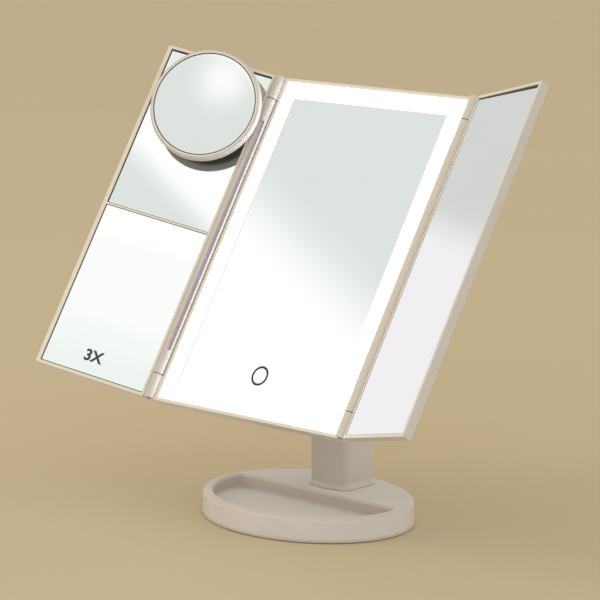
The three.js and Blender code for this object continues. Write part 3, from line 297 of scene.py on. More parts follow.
def mesh_object(points, faces):
    mesh = bpy.data.meshes.new("shape")
    mesh.from_pydata([tuple(p) for p in points], [], faces)
    return linked("shape", mesh)


def loft(rings):
    """A closed skin over rings of equal point counts, with flat ends."""
    count = len(rings[0])
    faces = [tuple(reversed(range(count)))]
    for k in range(len(rings) - 1):
        for i in range(count):
            j = (i + 1) % count
            faces.append((k * count + i, k * count + j, (k + 1) * count + j, (k + 1) * count + i))
    faces.append(tuple(range((len(rings) - 1) * count, len(rings) * count)))
    return mesh_object([p for ring in rings for p in ring], faces)


def along(axis, a, b, height):
    """A point of a flat shape (a, b) lifted along an axis of its place."""
    return {"x": (height, a, b), "y": (b, height, a), "z": (a, b, height)}[axis]


def turns(steps):
    return [2 * pi * i / steps for i in range(steps)]


def quarter(steps=8):
    return [pi / 2 * k / steps for k in range(steps + 1)]


def round_over(steps=8):
    """Steps round an edge, as shares of its radius: how far in, and how far along."""
    return [(1 - sin(t), 1 - cos(t)) for t in quarter(steps)]


def lathe(profile, axis="z", steps=96, centre=(0, 0, 0)):
    """A profile of (radius, height) turned about an axis through centre."""
    rings = []
    for radius, height in profile:
        ring = [along(axis, radius * cos(t), radius * sin(t), height) for t in turns(steps)]
        rings.append([Vector(p) + Vector(centre) for p in ring])
    return loft(rings)


def rod(radius, low, high, axis="y", steps=32, centre=(0, 0, 0)):
    return lathe([(radius, low), (radius, high)], axis, steps, centre)


def flat_ring(outer, inner, low, high, steps=128):
    """A flat ring round z, between two radii and two heights."""
    profile = [(outer, low), (outer, high), (inner, high), (inner, low)]
    count = len(profile)
    points = [(r * cos(t), r * sin(t), h) for t in turns(steps) for r, h in profile]
    faces = []
    for i in range(steps):
        j = (i + 1) % steps
        for k in range(count):
            m = (k + 1) % count
            faces.append((i * count + k, j * count + k, j * count + m, i * count + m))
    return mesh_object(points, faces)


def arc(cx, cy, radius, start, end, steps=6):
    """Points on an arc, with angles in degrees."""
    angles = [radians(start + (end - start) * i / steps) for i in range(steps + 1)]
    return [(cx + radius * cos(t), cy + radius * sin(t)) for t in angles]


def rounded(x0, x1, y0, y1, radius):
    """A rectangle with round corners."""
    r = max(min(radius, (x1 - x0) / 2, (y1 - y0) / 2), HAIR)
    return (arc(x1 - r, y0 + r, r, -90, 0) + arc(x1 - r, y1 - r, r, 0, 90)
            + arc(x0 + r, y1 - r, r, 90, 180) + arc(x0 + r, y0 + r, r, 180, 270))


def slab(x0, x1, y0, y1, z0, z1, corner=0.4, edge=0.3, steps=4, front_edge=None):
    """A block with round corners in plan and round edges at both faces."""
    front_edge = edge if front_edge is None else front_edge
    rings = [(edge * i, z0 + edge * h) for i, h in round_over(steps)]
    rings += [(front_edge * i, z1 - front_edge * h) for i, h in reversed(round_over(steps))]
    return loft([[(x, y, h) for x, y in rounded(x0 + i, x1 - i, y0 + i, y1 - i, corner - i)]
                 for i, h in rings])


def prism(outline, axis, low, high):
    return loft([[along(axis, a, b, h) for a, b in outline] for h in (low, high)])


def block(x0, x1, y0, y1, z0, z1):
    return prism([(x0, y0), (x1, y0), (x1, y1), (x0, y1)], "z", z0, z1)


def frame_ring(outer, inner, z0, z1, drops=(0, 0)):
    """A flat ring between two rectangles (x0, x1, y0, y1), the inner one lower at its upper corners."""
    corners = [[(r[0], r[2]), (r[1], r[2]), (r[1], r[3] - d[1]), (r[0], r[3] - d[0])]
               for r, d in ((outer, (0, 0)), (inner, drops))]
    points = [(x, y, z) for z in (z0, z1) for ring in corners for x, y in ring]
    faces = []
    for i in range(4):
        j = (i + 1) % 4
        faces += [(i, j, 4 + j, 4 + i), (8 + i, 12 + i, 12 + j, 8 + j),
                  (i, 8 + i, 8 + j, j), (4 + i, 4 + j, 12 + j, 12 + i)]
    return mesh_object(points, faces)


def finished_mesh(obj):
    """A mesh of what obj shows, with its modifiers or its text worked out."""
    bpy.context.view_layer.update()
    return bpy.data.meshes.new_from_object(obj.evaluated_get(bpy.context.evaluated_depsgraph_get()))


def shaped(obj, modifier):
    """obj with that modifier's result as its mesh."""
    mesh = finished_mesh(obj)
    obj.modifiers.remove(modifier)
    obj.data = mesh
    return obj


def outwards(obj):
    """Turns all faces of a closed skin outwards."""
    work = bmesh.new()
    work.from_mesh(obj.data)
    bmesh.ops.recalc_face_normals(work, faces=work.faces)
    work.to_mesh(obj.data)
    work.free()
    return obj


def combine(operation, base, *others):
    outwards(base)
    for other in others:
        outwards(other)
        step = base.modifiers.new("combine", "BOOLEAN")
        step.operation = operation
        step.solver = "EXACT"
        step.object = other
        shaped(base, step)
        bpy.data.objects.remove(other)
    return base


cut = partial(combine, "DIFFERENCE")
join = partial(combine, "UNION")
common = partial(combine, "INTERSECT")


def soften(obj, width, angle, segments=3):
    """Rounds the edges of obj that are sharper than angle."""
    step = obj.modifiers.new("soften", "BEVEL")
    step.width = width
    step.segments = segments
    step.limit_method = "ANGLE"
    step.angle_limit = radians(angle)
    return shaped(outwards(obj), step)


def lighten(obj, place, material, lowest, left, right):
    """Gives the faces of obj that look out of its front, from left to right, a paler material: a painted highlight
    where the light falls.
    """
    obj.data.materials.append(material)
    paler = len(obj.data.materials) - 1
    least_towards = 0.2
    home = place.inverted()
    for face in obj.data.polygons:
        middle = (home @ face.center) / MM
        towards = (home.to_3x3() @ face.normal).z
        if middle.z > lowest and towards > least_towards and left < middle.x < right:
            face.material_index = paler


def dress(mesh, material):
    mesh.materials.clear()
    mesh.materials.append(material)


def settle(obj, name, place, material, body, replaces=()):
    """Puts a shape drawn in mm in its place, as a piece that rides on a body."""
    sharp_angle = 32
    obj.name = name
    obj.data.transform(place @ Matrix.Scale(MM, 4))
    outwards(obj)
    obj.data.polygons.foreach_set("use_smooth", [True] * len(obj.data.polygons))
    obj.data.set_sharp_from_angle(angle=radians(sharp_angle))
    level = obj.modifiers.new("level", "WEIGHTED_NORMAL")
    level.mode = "FACE_AREA"
    level.weight = 100
    level.keep_sharp = True
    shaped(obj, level)
    obj.data.name = name
    dress(obj.data, material)
    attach(obj, body)
    if replaces:
        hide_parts(*replaces)
    return obj


# Materials
def feed(tree, source, socket):
    """Sets a socket to a value, or links it to another node's output."""
    if isinstance(source, bpy.types.NodeSocket):
        tree.links.new(source, socket)
    else:
        socket.default_value = source


def node(tree, kind, inputs=(), **settings):
    """A new node with its settings, and its inputs fed from pairs of socket and source."""
    made = tree.nodes.new(kind)
    for name, value in settings.items():
        setattr(made, name, value)
    for socket, source in inputs:
        feed(tree, source, made.inputs[socket])
    return made


def noise(tree, scale, detail, stretch=(1, 1, 1)):
    """Noise in the piece's own coordinates, with scale in lumps per metre."""
    coordinates = node(tree, "ShaderNodeTexCoord").outputs["Object"]
    mapping = node(tree, "ShaderNodeMapping", [("Vector", coordinates), ("Scale", stretch)])
    made = node(tree, "ShaderNodeTexNoise",
                [("Vector", mapping.outputs["Vector"]), ("Scale", scale), ("Detail", detail)])
    return made.outputs["Fac"]


NOISE_RANGE = (0.3, 0.7)


def ramp(tree, factor, low, high, ends=NOISE_RANGE):
    """A colour that runs from low to high with factor."""
    made = node(tree, "ShaderNodeValToRGB", [("Fac", factor)])
    for element, position, colour in zip(made.color_ramp.elements, ends, (low, high)):
        element.position = position
        element.color = (*colour, 1)
    return made.outputs["Color"]


def map_range(tree, source, start, end, low, high, **settings):
    """A number that runs from low to high as source runs from start to end."""
    inputs = zip(("Value", "From Min", "From Max", "To Min", "To Max"), (source, start, end, low, high))
    return node(tree, "ShaderNodeMapRange", inputs, **settings).outputs["Result"]


def surface(name, low, high, roughness, colour_scale=25, grain_scale=2500, grain=0.12,
            metallic=0.0, stretch=(1, 1, 1)):
    """A material whose colour, roughness and fine relief vary over the piece."""
    relief = 0.05 * MM
    made = bpy.data.materials.new(name)
    made.use_nodes = True
    tree = made.node_tree
    shader = tree.nodes["Principled BSDF"]
    shader.inputs["Metallic"].default_value = metallic
    broad = noise(tree, colour_scale, 3.0, stretch)
    fine = noise(tree, grain_scale, 2.0, stretch)
    feed(tree, ramp(tree, broad, low, high), shader.inputs["Base Color"])
    if isinstance(roughness, tuple):
        roughness = map_range(tree, fine, *NOISE_RANGE, *roughness)
    feed(tree, roughness, shader.inputs["Roughness"])
    if grain:
        bump = node(tree, "ShaderNodeBump", [("Strength", grain), ("Distance", relief), ("Height", fine)])
        feed(tree, bump.outputs["Normal"], shader.inputs["Normal"])
    return made


def mirror_silver(name, roughness):
    return surface(name, (0.895, 0.912, 0.898), (0.905, 0.92, 0.906), roughness,
                   colour_scale=12, grain_scale=60, grain=0, metallic=1.0)


def lit_opal():
    """The frosted border of the glass, lit from behind and a little cooler in places."""
    made = surface("lit_opal", (0.16, 0.16, 0.17), (0.18, 0.18, 0.18), (0.5, 0.6), grain=0.03)
    tree = made.node_tree
    shader = tree.nodes["Principled BSDF"]
    glow = ramp(tree, noise(tree, 18, 2.0), (0.92, 0.92, 1.0), (0.96, 0.955, 1.0), (0.2, 0.5))
    feed(tree, glow, shader.inputs["Emission Color"])
    shader.inputs["Emission Strength"].default_value = 1.0
    return made


PLASTIC = {"roughness": (0.28, 0.34), "grain": 0.03}
PRINTED = {"roughness": (0.4, 0.55), "colour_scale": 300, "grain": 0.05}
WARM = surface("warm_plastic_moulding", (0.618, 0.558, 0.482), (0.640, 0.580, 0.503), **PLASTIC)
# LIP and HINGE are paler copies of the warm plastic for front faces: painted highlights, not colours of their own.
LIP = surface("lip_painted_highlight", (0.82, 0.745, 0.60), (0.85, 0.775, 0.63), **PLASTIC)
HINGE = surface("hinge_painted_highlight", (0.70, 0.635, 0.52), (0.723, 0.658, 0.543), **PLASTIC)
SILVER = mirror_silver("silvered_glass", (0.004, 0.010))
MAGNIFYING_SILVER = mirror_silver("magnifying_glass", 0.0)
OPAL = lit_opal()
WHITE = surface("white_moulding", (0.84, 0.84, 0.82), (0.88, 0.88, 0.87), (0.45, 0.6))
STEEL = surface("plated_steel", (0.60, 0.61, 0.63), (0.70, 0.71, 0.72), (0.22, 0.38), colour_scale=80,
                grain_scale=900, grain=0.2, metallic=1.0, stretch=(0.1, 1, 1))
RUBBER = surface("grey_rubber", (0.055, 0.054, 0.05), (0.075, 0.073, 0.068), (0.75, 0.9), colour_scale=60,
                 grain_scale=1500, grain=0.3)
BOARD = surface("solder_mask", (0.03, 0.13, 0.065), (0.045, 0.17, 0.09), (0.35, 0.5), colour_scale=350,
                grain_scale=900, grain=0.3)
CELL = surface("cell_wrap", (0.22, 0.26, 0.31), (0.30, 0.34, 0.39), (0.28, 0.4), colour_scale=40,
               grain_scale=1200, grain=0.08, metallic=0.2)
GROOVE = surface("groove_shade", (0.42, 0.355, 0.37), (0.45, 0.38, 0.39), (0.4, 0.5))
EDGE = surface("cut_edge", (0.84, 0.835, 0.81), (0.87, 0.865, 0.84), (0.4, 0.5))
# Painted shade for the gaps round the mirrors.
GAP_SHADE = surface("painted_gap_shade", (0.026, 0.022, 0.012), (0.042, 0.036, 0.022), (0.5, 0.7), colour_scale=90,
               grain_scale=1500, grain=0.1)
PRINT = surface("black_print", (0.012, 0.011, 0.010), (0.02, 0.019, 0.018), **PRINTED)
MARK = surface("grey_print", (0.035, 0.042, 0.035), (0.05, 0.058, 0.05), **PRINTED)


# Base and post
def oval(inset, z):
    return [((BASE_HALF_WIDTH - inset) * cos(t), (BASE_HALF_DEPTH - inset) * sin(t), z)
            for t in turns(160)]


def rear_oval(inset, edge, z, steps=80):
    """The part of the oval behind a straight edge."""
    a = BASE_HALF_WIDTH - inset
    b = BASE_HALF_DEPTH - inset
    start = asin(edge / b)
    angles = [start + (pi - 2 * start) * i / steps for i in range(steps + 1)]
    return [(a * cos(t), b * sin(t), z) for t in angles]


def tray_ring(offset, z, steps=96, corner_steps=8):
    """Outline of the tray: the front of the oval up to its straight back, with round corners."""
    corner = TRAY_CORNER + offset
    a = BASE_HALF_WIDTH - TRAY_RIM - TRAY_CORNER
    b = BASE_HALF_DEPTH - TRAY_RIM - TRAY_CORNER
    start = -asin((TRAY_BACK_Y - TRAY_CORNER) / b)
    back = pi / 2
    shares = [k / corner_steps for k in range(corner_steps + 1)]
    ring = []
    for i in range(steps + 1):
        t = start + (pi - 2 * start) * i / steps
        x, y = a * cos(t), -b * sin(t)
        bearing = atan2(-sin(t) / b, cos(t) / a)
        bearings = [bearing]
        if i == 0:
            bearings = [back + (bearing - back) * share for share in shares]
        elif i == steps:
            bearing %= 2 * pi
            bearings = [bearing + (back - bearing) * share for share in shares]
        ring += [(x + corner * cos(q), y + corner * sin(q), z) for q in bearings]
    return ring[::-1]


def base_moulding():
    foot = 0.3
    outer = [oval(foot, BASE_LIFT), oval(0, BASE_LIFT + foot)]
    outer += [oval(RIM_DRAFT + RIM_RADIUS * h, BASE_TOP - RIM_RADIUS * i) for i, h in round_over(10)]
    floor = BASE_TOP - TRAY_DEPTH
    tray = [tray_ring(-TRAY_FLOOR_RADIUS * i, floor + TRAY_FLOOR_RADIUS * h) for i, h in round_over()]
    tray += [tray_ring(TRAY_EDGE_RADIUS * h, BASE_TOP - TRAY_EDGE_RADIUS * i) for i, h in round_over()]
    tray.append(tray_ring(TRAY_EDGE_RADIUS, BASE_TOP + CLEAR))
    wall = BASE_WALL + RIM_DRAFT
    under = floor - TRAY_FLOOR
    rear = TRAY_BACK_Y + TRAY_EDGE_RADIUS + BASE_WALL
    shell = cut(loft(outer), loft(tray),
                loft([oval(BASE_WALL, BASE_LIFT - CLEAR), oval(wall, under)]),
                loft([rear_oval(wall, rear, under - CLEAR), rear_oval(wall, rear, BASE_TOP - 2 * BASE_WALL),
                      rear_oval(wall + 2, rear, BASE_TOP - BASE_WALL)]))
    settle(shell, "base_moulding", BASE, WARM, "base", ["base_shell"])


def base_pad():
    inset = BASE_WALL + RIM_DRAFT + PAD_GAP
    chamfer = 0.15
    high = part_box("non_slip_pad")[1].z / MM
    steps = ((PAD_EDGE, 0), (chamfer, chamfer), (0, PAD_EDGE), (0, high))
    pad = loft([oval(inset + i, h) for i, h in steps])
    settle(pad, "rubber_pad", BASE, RUBBER, "base", ["non_slip_pad"])


def knuckle_tangent(x, y):
    """Where, in degrees, a line through (x, y) touches the tilt joint's round knuckle."""
    return degrees(atan2(y, x) + acos(KNUCKLE_RADIUS / hypot(x, y)))


def post_ring(offset, z, corner_steps=10, bow_steps=20):
    half = POST_WIDTH / 2 + offset
    back = POST_DEPTH / 2 + offset
    radius = POST_CORNER + offset
    cx = half - radius
    front = -back + POST_BOW + radius
    plan = []
    for x, y, start in ((cx, back - radius, 0), (-cx, back - radius, 90), (-cx, front, 180)):
        plan += arc(x, y, radius, start, start + 90, corner_steps)
    for k in range(1, bow_steps):
        share = 2 * k / bow_steps - 1
        plan.append((cx * share, -back + POST_BOW * share * share))
    plan += arc(cx, front, radius, 270, 360, corner_steps)
    return [(x, POST_Y + y, z) for x, y in plan]


def post_side():
    """Side outline of the post, with straight sides that run into the round knuckle."""
    reach = POST_DEPTH / 2
    tangent = knuckle_tangent(reach, -SHOULDER_DROP)
    shoulder = PIVOT_Z - SHOULDER_DROP
    wide = reach + FOOT_FLARE + CLEAR
    top = arc(POST_Y, PIVOT_Z, KNUCKLE_RADIUS, tangent, 180 - tangent, 40)
    return ([(POST_Y - wide, 0), (POST_Y + wide, 0), (POST_Y + wide, shoulder), (POST_Y + reach, shoulder)]
            + top + [(POST_Y - reach, shoulder), (POST_Y - wide, shoulder)])


def post_column():
    edge = 0.25
    steps = 10
    foot = BASE_TOP + SEAM
    rings = [post_ring(FOOT_FLARE - edge, foot), post_ring(FOOT_FLARE, foot + edge)]
    for k in range(steps + 1):
        share = k / steps
        rings.append(post_ring(FOOT_FLARE * (1 - share) ** FOOT_HOLLOW,
                               foot + FOOT_HEIGHT * (FOOT_BAND + (1 - FOOT_BAND) * share)))
    rings.append(post_ring(0, PIVOT_Z + KNUCKLE_RADIUS + CLEAR))
    column = common(loft(rings), prism(post_side(), "x", -POST_WIDTH, POST_WIDTH))
    cut(column,
        loft([post_ring(-POST_WALL, foot - CLEAR), post_ring(-POST_WALL, PIVOT_Z - POST_CAVITY_DROP)]),
        rod(AXLE_BORE, -POST_WIDTH, POST_WIDTH, "x", 32, (0, POST_Y, PIVOT_Z)))
    settle(column, "post_column", BASE, WARM, "base", ["post_shell"])


# Centre panel
def knuckle(low, high, centre=(0, 0, 0), dome_down=False, dome_up=False):
    """A hinge knuckle or barrel, with a dome or a small chamfer at each end."""
    flat = BARREL_RADIUS * KNUCKLE_FLAT
    dome = [(flat + (BARREL_RADIUS - flat) * sin(t), KNUCKLE_DOME * (1 - cos(t)))
            for t in quarter(6)]
    chamfer = [(BARREL_RADIUS - BARREL_EDGE, 0), (BARREL_RADIUS, BARREL_EDGE)]
    profile = [(r, low + h) for r, h in (dome if dome_down else chamfer)]
    profile += [(r, high - h) for r, h in reversed(dome if dome_up else chamfer)]
    return lathe(profile, "y", 72, centre)


def mirror_opening(x0, x1, back, front, flare):
    """What is cut from a frame for its mirror, flared at the front."""
    rings = ((0, back), (0, front - flare), (flare, front), (flare + CLEAR, front + CLEAR))
    return loft([[(x, y, h) for x, y in rounded(x0 - o, x1 + o, -o, GLASS_HEIGHT + o, OPENING_CORNER)]
                 for o, h in rings])


def centre_bezel():
    body = slab(-HOUSING_HALF, HOUSING_HALF, HEAD_LOW, HEAD_HIGH, -BEZEL_DEPTH, LIP_PROUD,
                corner=0.8, edge=0.25, front_edge=0.7)
    cut(body, mirror_opening(-GLASS_HALF, GLASS_HALF, -BEZEL_DEPTH - CLEAR, LIP_PROUD, 0.3))
    for side in (-1, 1):
        hinge = (side * HINGE_U, 0, HINGE_W)
        cut(body, rod(CHANNEL_RADIUS, SEAM_LOW, SEAM_HIGH, "y", 96, hinge))
        join(body, knuckle(HEAD_LOW, SEAM_LOW, hinge, dome_down=True),
             knuckle(SEAM_HIGH, HEAD_HIGH, hinge, dome_up=True))
        cut(body, *(rod(radius, low, high, centre=hinge) for radius, low, high in (
            (PIN_BORE, HEAD_LOW - CLEAR, SEAM_LOW + CLEAR),
            (PIN_MOUTH, HEAD_LOW - CLEAR, HEAD_LOW + PIN_MOUTH_DEPTH),
            (PIN_BORE, SEAM_HIGH - CLEAR, HEAD_HIGH - PIN_ROOF))))
    settle(body, "centre_bezel", HEAD, WARM, "head", ["centre_front_frame"])
    # Painted highlights: paler front faces on the lips and the right hinge.
    lighten(body, HEAD, LIP, LIP_PROUD - 0.8, 1 - GLASS_HALF, GLASS_HALF - 1)
    lighten(body, HEAD, HINGE, HINGE_W, HINGE_U - BARREL_RADIUS + 0.3, HINGE_U + BARREL_RADIUS)


def bevelled(low, high, front, bevel_front, back, bevel):
    """Outline of the rear cover as (along, w) points, with bevels at its back."""
    return [(low, front), (high, front), (high, bevel_front), (high - bevel, back), (low + bevel, back),
            (low, bevel_front)]


door_low, door_high = local_box("battery_door", HEAD)
BAY_LOW = door_low.y
BAY_TOP = door_high.y - BAY_WALL
DOOR_BACK = door_low.z + DOOR_RIB_PROUD
DOOR_FRONT = door_high.z


def cover_screws():
    """Places of the screws that hold the rear cover, as (u, v)."""
    across = HOUSING_HALF - HOUSING_BEVEL - COVER_SCREW_INSET
    return [(side * across, v) for side in (-1, 1) for v in COVER_SCREW_ROWS]


def rear_housing():
    def shell(wall):
        """The cover's outside, or with a wall what it holds."""
        half = HOUSING_HALF - wall
        back = wall - HOUSING_DEPTH
        front = -BEZEL_DEPTH + (CLEAR if wall else -SEAM)
        plan = bevelled(-half, half, front, -BEZEL_DEPTH - SEAM - SIDE_BAND, back, HOUSING_BEVEL)
        side = bevelled(HEAD_LOW + wall, HEAD_HIGH - wall, 0, back + HOUSING_END_BEVEL, back,
                        HOUSING_END_BEVEL)
        return common(prism([(w, u) for u, w in plan], "y", HEAD_LOW - CLEAR, HEAD_HIGH + CLEAR),
                      prism(side, "x", -HOUSING_HALF - CLEAR, HOUSING_HALF + CLEAR))

    inside = -HOUSING_DEPTH + HOUSING_WALL
    outer = BAY_HALF_WIDTH + BAY_WALL
    lining = 2
    bulge = slab(-outer, outer, BAY_LOW - BAY_WALL, BAY_TOP + BAY_WALL, DOOR_BACK, inside + BAY_EDGE,
                 corner=BAY_CORNER, edge=BAY_EDGE)
    body = cut(soften(shell(0), 1.2, 20), shell(HOUSING_WALL))
    join(body, bulge, block(-BAY_HALF_WIDTH - lining, BAY_HALF_WIDTH + lining, BAY_LOW - lining,
                            BAY_TOP + lining, inside - CLEAR, -BAY_FLOOR + 1.8))
    gap = DOOR_CLEARANCE
    reach = BAY_HALF_WIDTH + gap
    rail = BAY_HALF_WIDTH + DOOR_TONGUE + gap
    open_end = BAY_TOP + BAY_WALL + 3
    tongue_back = DOOR_FRONT - DOOR_TONGUE_THICKNESS - gap
    cut(body,
        block(-BAY_HALF_WIDTH, BAY_HALF_WIDTH, BAY_LOW, BAY_TOP, DOOR_BACK - CLEAR, -BAY_FLOOR),
        block(-reach, reach, BAY_LOW - gap, open_end, DOOR_BACK - CLEAR, DOOR_FRONT + gap),
        block(-rail, rail, BAY_LOW - gap, open_end, tongue_back, DOOR_FRONT + gap))
    for u, (width, height) in ((SOCKET_U, SOCKET_HOLE), (SWITCH_U, SWITCH_HOLE)):
        cut(body, slab(u - width / 2, u + width / 2, BOARD_V - height / 2, BOARD_V + height / 2,
                       -HOUSING_DEPTH - CLEAR, inside + CLEAR, corner=1.2, edge=HAIR))
    for u, v in cover_screws():
        cut(body, lathe([(COVER_SCREW_RECESS + 0.4, -HOUSING_DEPTH - 0.4),
                         (COVER_SCREW_RECESS, -HOUSING_DEPTH + 0.2),
                         (COVER_SCREW_RECESS, -HOUSING_DEPTH + COVER_SCREW_SINK)], "z", 32, (u, v, 0)))
    settle(body, "rear_housing", HEAD, WARM, "head", ["centre_rear_cover"])


def cross_screw(name, u, v, seat):
    """A small pan-head screw with a cross recess, its head towards the back."""
    r = COVER_SCREW_HEAD
    head = lathe([(r * 0.35, seat - 1.0), (r * 0.8, seat - 0.8), (r, seat - 0.3), (r, seat)], "z", 32,
                 (u, v, 0))
    for long, short in ((1.4, 0.3), (0.3, 1.4)):
        cut(head, block(u - long, u + long, v - short, v + short, seat - 2, seat - 0.45))
    settle(head, name, HEAD, STEEL, "head")


def centre_glass():
    inner = GLASS_HALF - LIT_BORDER
    top = GLASS_HEIGHT - LIT_BORDER
    pane = slab(-inner, inner, LIT_BORDER, top, -GLASS_THICKNESS, 0, 0.02, 0.02)
    settle(pane, "centre_silver_pane", HEAD, SILVER, "head", ["centre_mirror"])
    gap = 0.04
    half = GLASS_HALF - gap
    border = slab(-half, half, gap, GLASS_HEIGHT - gap, -GLASS_THICKNESS, 0, 0.4, 0.2)
    cut(border, block(-inner - HAIR, inner + HAIR, LIT_BORDER - HAIR, top + HAIR, -4, CLEAR))
    settle(border, "lit_border", HEAD, OPAL, "head", ["light_diffuser"])
    line = frame_ring((-inner, inner, LIT_BORDER, top),
                      (-inner + SILVER_EDGE, inner - SILVER_EDGE / 10, LIT_BORDER + SILVER_EDGE / 10,
                       top - SILVER_EDGE / 2.5), -0.2, 0.03)
    settle(line, "silver_edge_line", HEAD, EDGE, "head")


def touch_ring():
    r = TOUCH_RING_RADIUS
    ring = flat_ring(r, r - TOUCH_RING_STROKE, HAIR, PRINT_THICKNESS)
    ring.data.transform(Matrix.Translation((0, TOUCH_RING_V, 0)))
    settle(ring, "touch_ring_print", HEAD, PRINT, "head")


# Wings
def wing_range(side, r0, r1):
    """A stretch away from the hinge as lowest and highest x."""
    return sorted((side * r0, side * r1))


def glass_range(side, gap=0.0):
    return wing_range(side, WING_GLASS_START + gap, WING_GLASS_END - gap)


def groove_shape(side, low_radius, high_radius, inset=0.0):
    """The long round-ended groove, turned inwards from the front of the barrel."""
    middle = (HEAD_LOW + HEAD_HIGH) / 2
    radius = GROOVE_WIDTH / 2
    reach = GROOVE_LENGTH / 2 - radius
    outline = arc(0, middle + reach, radius - inset, 0, 180, 16)
    outline += arc(0, middle - reach, radius - inset, 180, 360, 16)
    made = prism(outline, "z", low_radius, high_radius)
    made.data.transform(Matrix.Rotation(-side * radians(GROOVE_ANGLE), 4, "Y"))
    return made


def wing_moulding(name, side, place):
    lip = WING_LIP_PROUD - WING_SET_BACK
    low = SEAM_LOW + KNUCKLE_SEAM / 2
    high = SEAM_HIGH - KNUCKLE_SEAM / 2
    glass_back = -WING_SET_BACK - GLASS_THICKNESS - GLASS_GAP
    ledge_back = glass_back - WING_LEDGE_THICKNESS
    body = slab(*wing_range(side, WING_START, WING_REACH), HEAD_LOW, HEAD_HIGH, -WING_DEPTH, lip,
                corner=1.3, edge=0.9, steps=5, front_edge=0.6)
    web = block(*wing_range(side, *WING_WEB), low, high, -WING_DEPTH + 0.5, lip - 0.6)
    join(body, knuckle(low, high), web)
    x0, x1 = glass_range(side)
    cut(body, mirror_opening(x0, x1, glass_back, lip, 0.25),
        block(x0 + WING_LEDGE, x1 - WING_LEDGE, WING_LEDGE, GLASS_HEIGHT - WING_LEDGE, -WING_DEPTH - CLEAR,
              glass_back + CLEAR),
        block(x0, x1, 0, GLASS_HEIGHT, -WING_DEPTH - CLEAR,
              min(-WING_DEPTH + WING_COVER + GLASS_GAP, ledge_back)))
    if name == "left":
        half = DIVIDER_WIDTH / 2
        join(body, slab(x0 - 0.4, x1 + 0.4, DIVIDER_V - half, DIVIDER_V + half, ledge_back, lip - 0.2,
                        corner=0.02, edge=0.02, front_edge=0.3))
    cut(body, groove_shape(side, GROOVE_FLOOR, BARREL_RADIUS + CLEAR),
        rod(PIN_BORE, low - CLEAR, low + PIN_REACH), rod(PIN_BORE, high - PIN_REACH, high + CLEAR))
    wing = name + "_wing"
    settle(body, wing + "_moulding", place, WARM, wing, [wing + "_frame"])
    # Painted highlights: paler front faces on the right hinge and the lips.
    if side > 0:
        lighten(body, place, HINGE, 0, -BARREL_RADIUS, WING_START)
    end = WING_REACH + 1 if side < 0 else WING_GLASS_END + 0.3
    lighten(body, place, LIP, lip - 0.7, *wing_range(side, WING_START, end))


# The groove's floor strip: a mauve of its own, darkened further as painted shade of the recess.
def groove_strip(name, side, place):
    strip = groove_shape(side, GROOVE_FLOOR + HAIR, GROOVE_FLOOR + GROOVE_STRIP, 0.02)
    settle(strip, name + "_groove_strip", place, GROOVE, name + "_wing")


def knuckle_washer(name, side, level, low):
    """The dark washer in the seam between a knuckle and its barrel."""
    gap = 0.04
    ring = flat_ring(WASHER_RADIUS, PIN_BORE, low + gap, low + KNUCKLE_SEAM / 2 - gap, 64)
    ring.data.transform(Matrix.Rotation(-pi / 2, 4, "X"))
    ring.data.transform(Matrix.Translation((side * HINGE_U, 0, HINGE_W)))
    settle(ring, f"knuckle_washer_{name}_{level}", HEAD, RUBBER, "head")


def pin_bore_shade(name, side):
    """A dark disc under the pin, in the mouth of its bore: painted shade of the bore's hollow."""
    r = PIN_MOUTH - 0.08
    profile = ((TIP, 0.12), (r - 0.3, 0.14), (r, 0.3), (r, 0.85), (TIP, 0.85))
    bore_disc = lathe([(radius, HEAD_LOW + h) for radius, h in profile], "y", 40, (side * HINGE_U, 0, HINGE_W))
    settle(bore_disc, f"pin_bore_shade_{name}", HEAD, RUBBER, "head")


def wing_back(name, side, place):
    gap = 0.15
    x0, x1 = glass_range(side, gap)
    panel = slab(x0, x1, gap, GLASS_HEIGHT - gap, -WING_DEPTH, -WING_DEPTH + WING_COVER, 0.5, 0.02)
    soften(panel, 0.35, 60, 2)
    wing = name + "_wing"
    settle(panel, wing + "_back", place, WARM, wing, [wing + "_cover"])


def pane(part, wing, low, high):
    name, side, place = wing
    gap = 0.06
    x0, x1 = glass_range(side, gap)
    glass = slab(x0, x1, low + gap, high - gap, -WING_SET_BACK - GLASS_THICKNESS, -WING_SET_BACK, 0.3, 0.1)
    settle(glass, part + "_pane", place, SILVER, name + "_wing", [part + "_mirror"])


def gap_shade_line(part, wing, low, high, widths, drops=(0, 0)):
    """The dark line between a mirror and its lip, painted shade of the gap between them. Widths are at the hinge,
    outer, lower and upper sides.
    """
    name, side, place = wing
    hinge, outer, lower, upper = widths
    x0, x1 = glass_range(side)
    i0, i1 = wing_range(side, WING_GLASS_START + hinge, WING_GLASS_END - outer)
    front = -WING_SET_BACK
    ring = frame_ring((x0, x1, low, high), (i0, i1, low + lower, high - upper), front - 0.3,
                      front + GAP_SHADE_THICKNESS / 2, drops)
    settle(ring, part + "_gap_shade", place, GAP_SHADE, name + "_wing")


def magnification_mark():
    """A plain magnification mark printed on the lower left mirror."""
    letters = bpy.data.curves.new("mark", "FONT")
    letters.body = "3X"
    letters.align_x = "CENTER"
    letters.align_y = "CENTER"
    letters.size = MARK_HEIGHT / CAPITAL_SHARE
    letters.offset = MARK_WEIGHT
    letters.extrude = PRINT_THICKNESS / 2
    text = linked("mark_text", letters)
    mesh = finished_mesh(text)
    bpy.data.objects.remove(text)
    mesh.transform(Matrix.Translation((*MARK_PLACE, PRINT_THICKNESS / 2 - WING_SET_BACK + HAIR)))
    settle(linked("mark", mesh), "magnification_mark", LEFT_WING, MARK, "left_wing")


# Magnifier
def ball_profile(radius, start, step):
    """A ball's (radius, height) points from an angle above its lowest point."""
    angles = [radians(a) for a in range(start, 180, step)]
    return [(radius * sin(t), -radius * cos(t)) for t in angles]


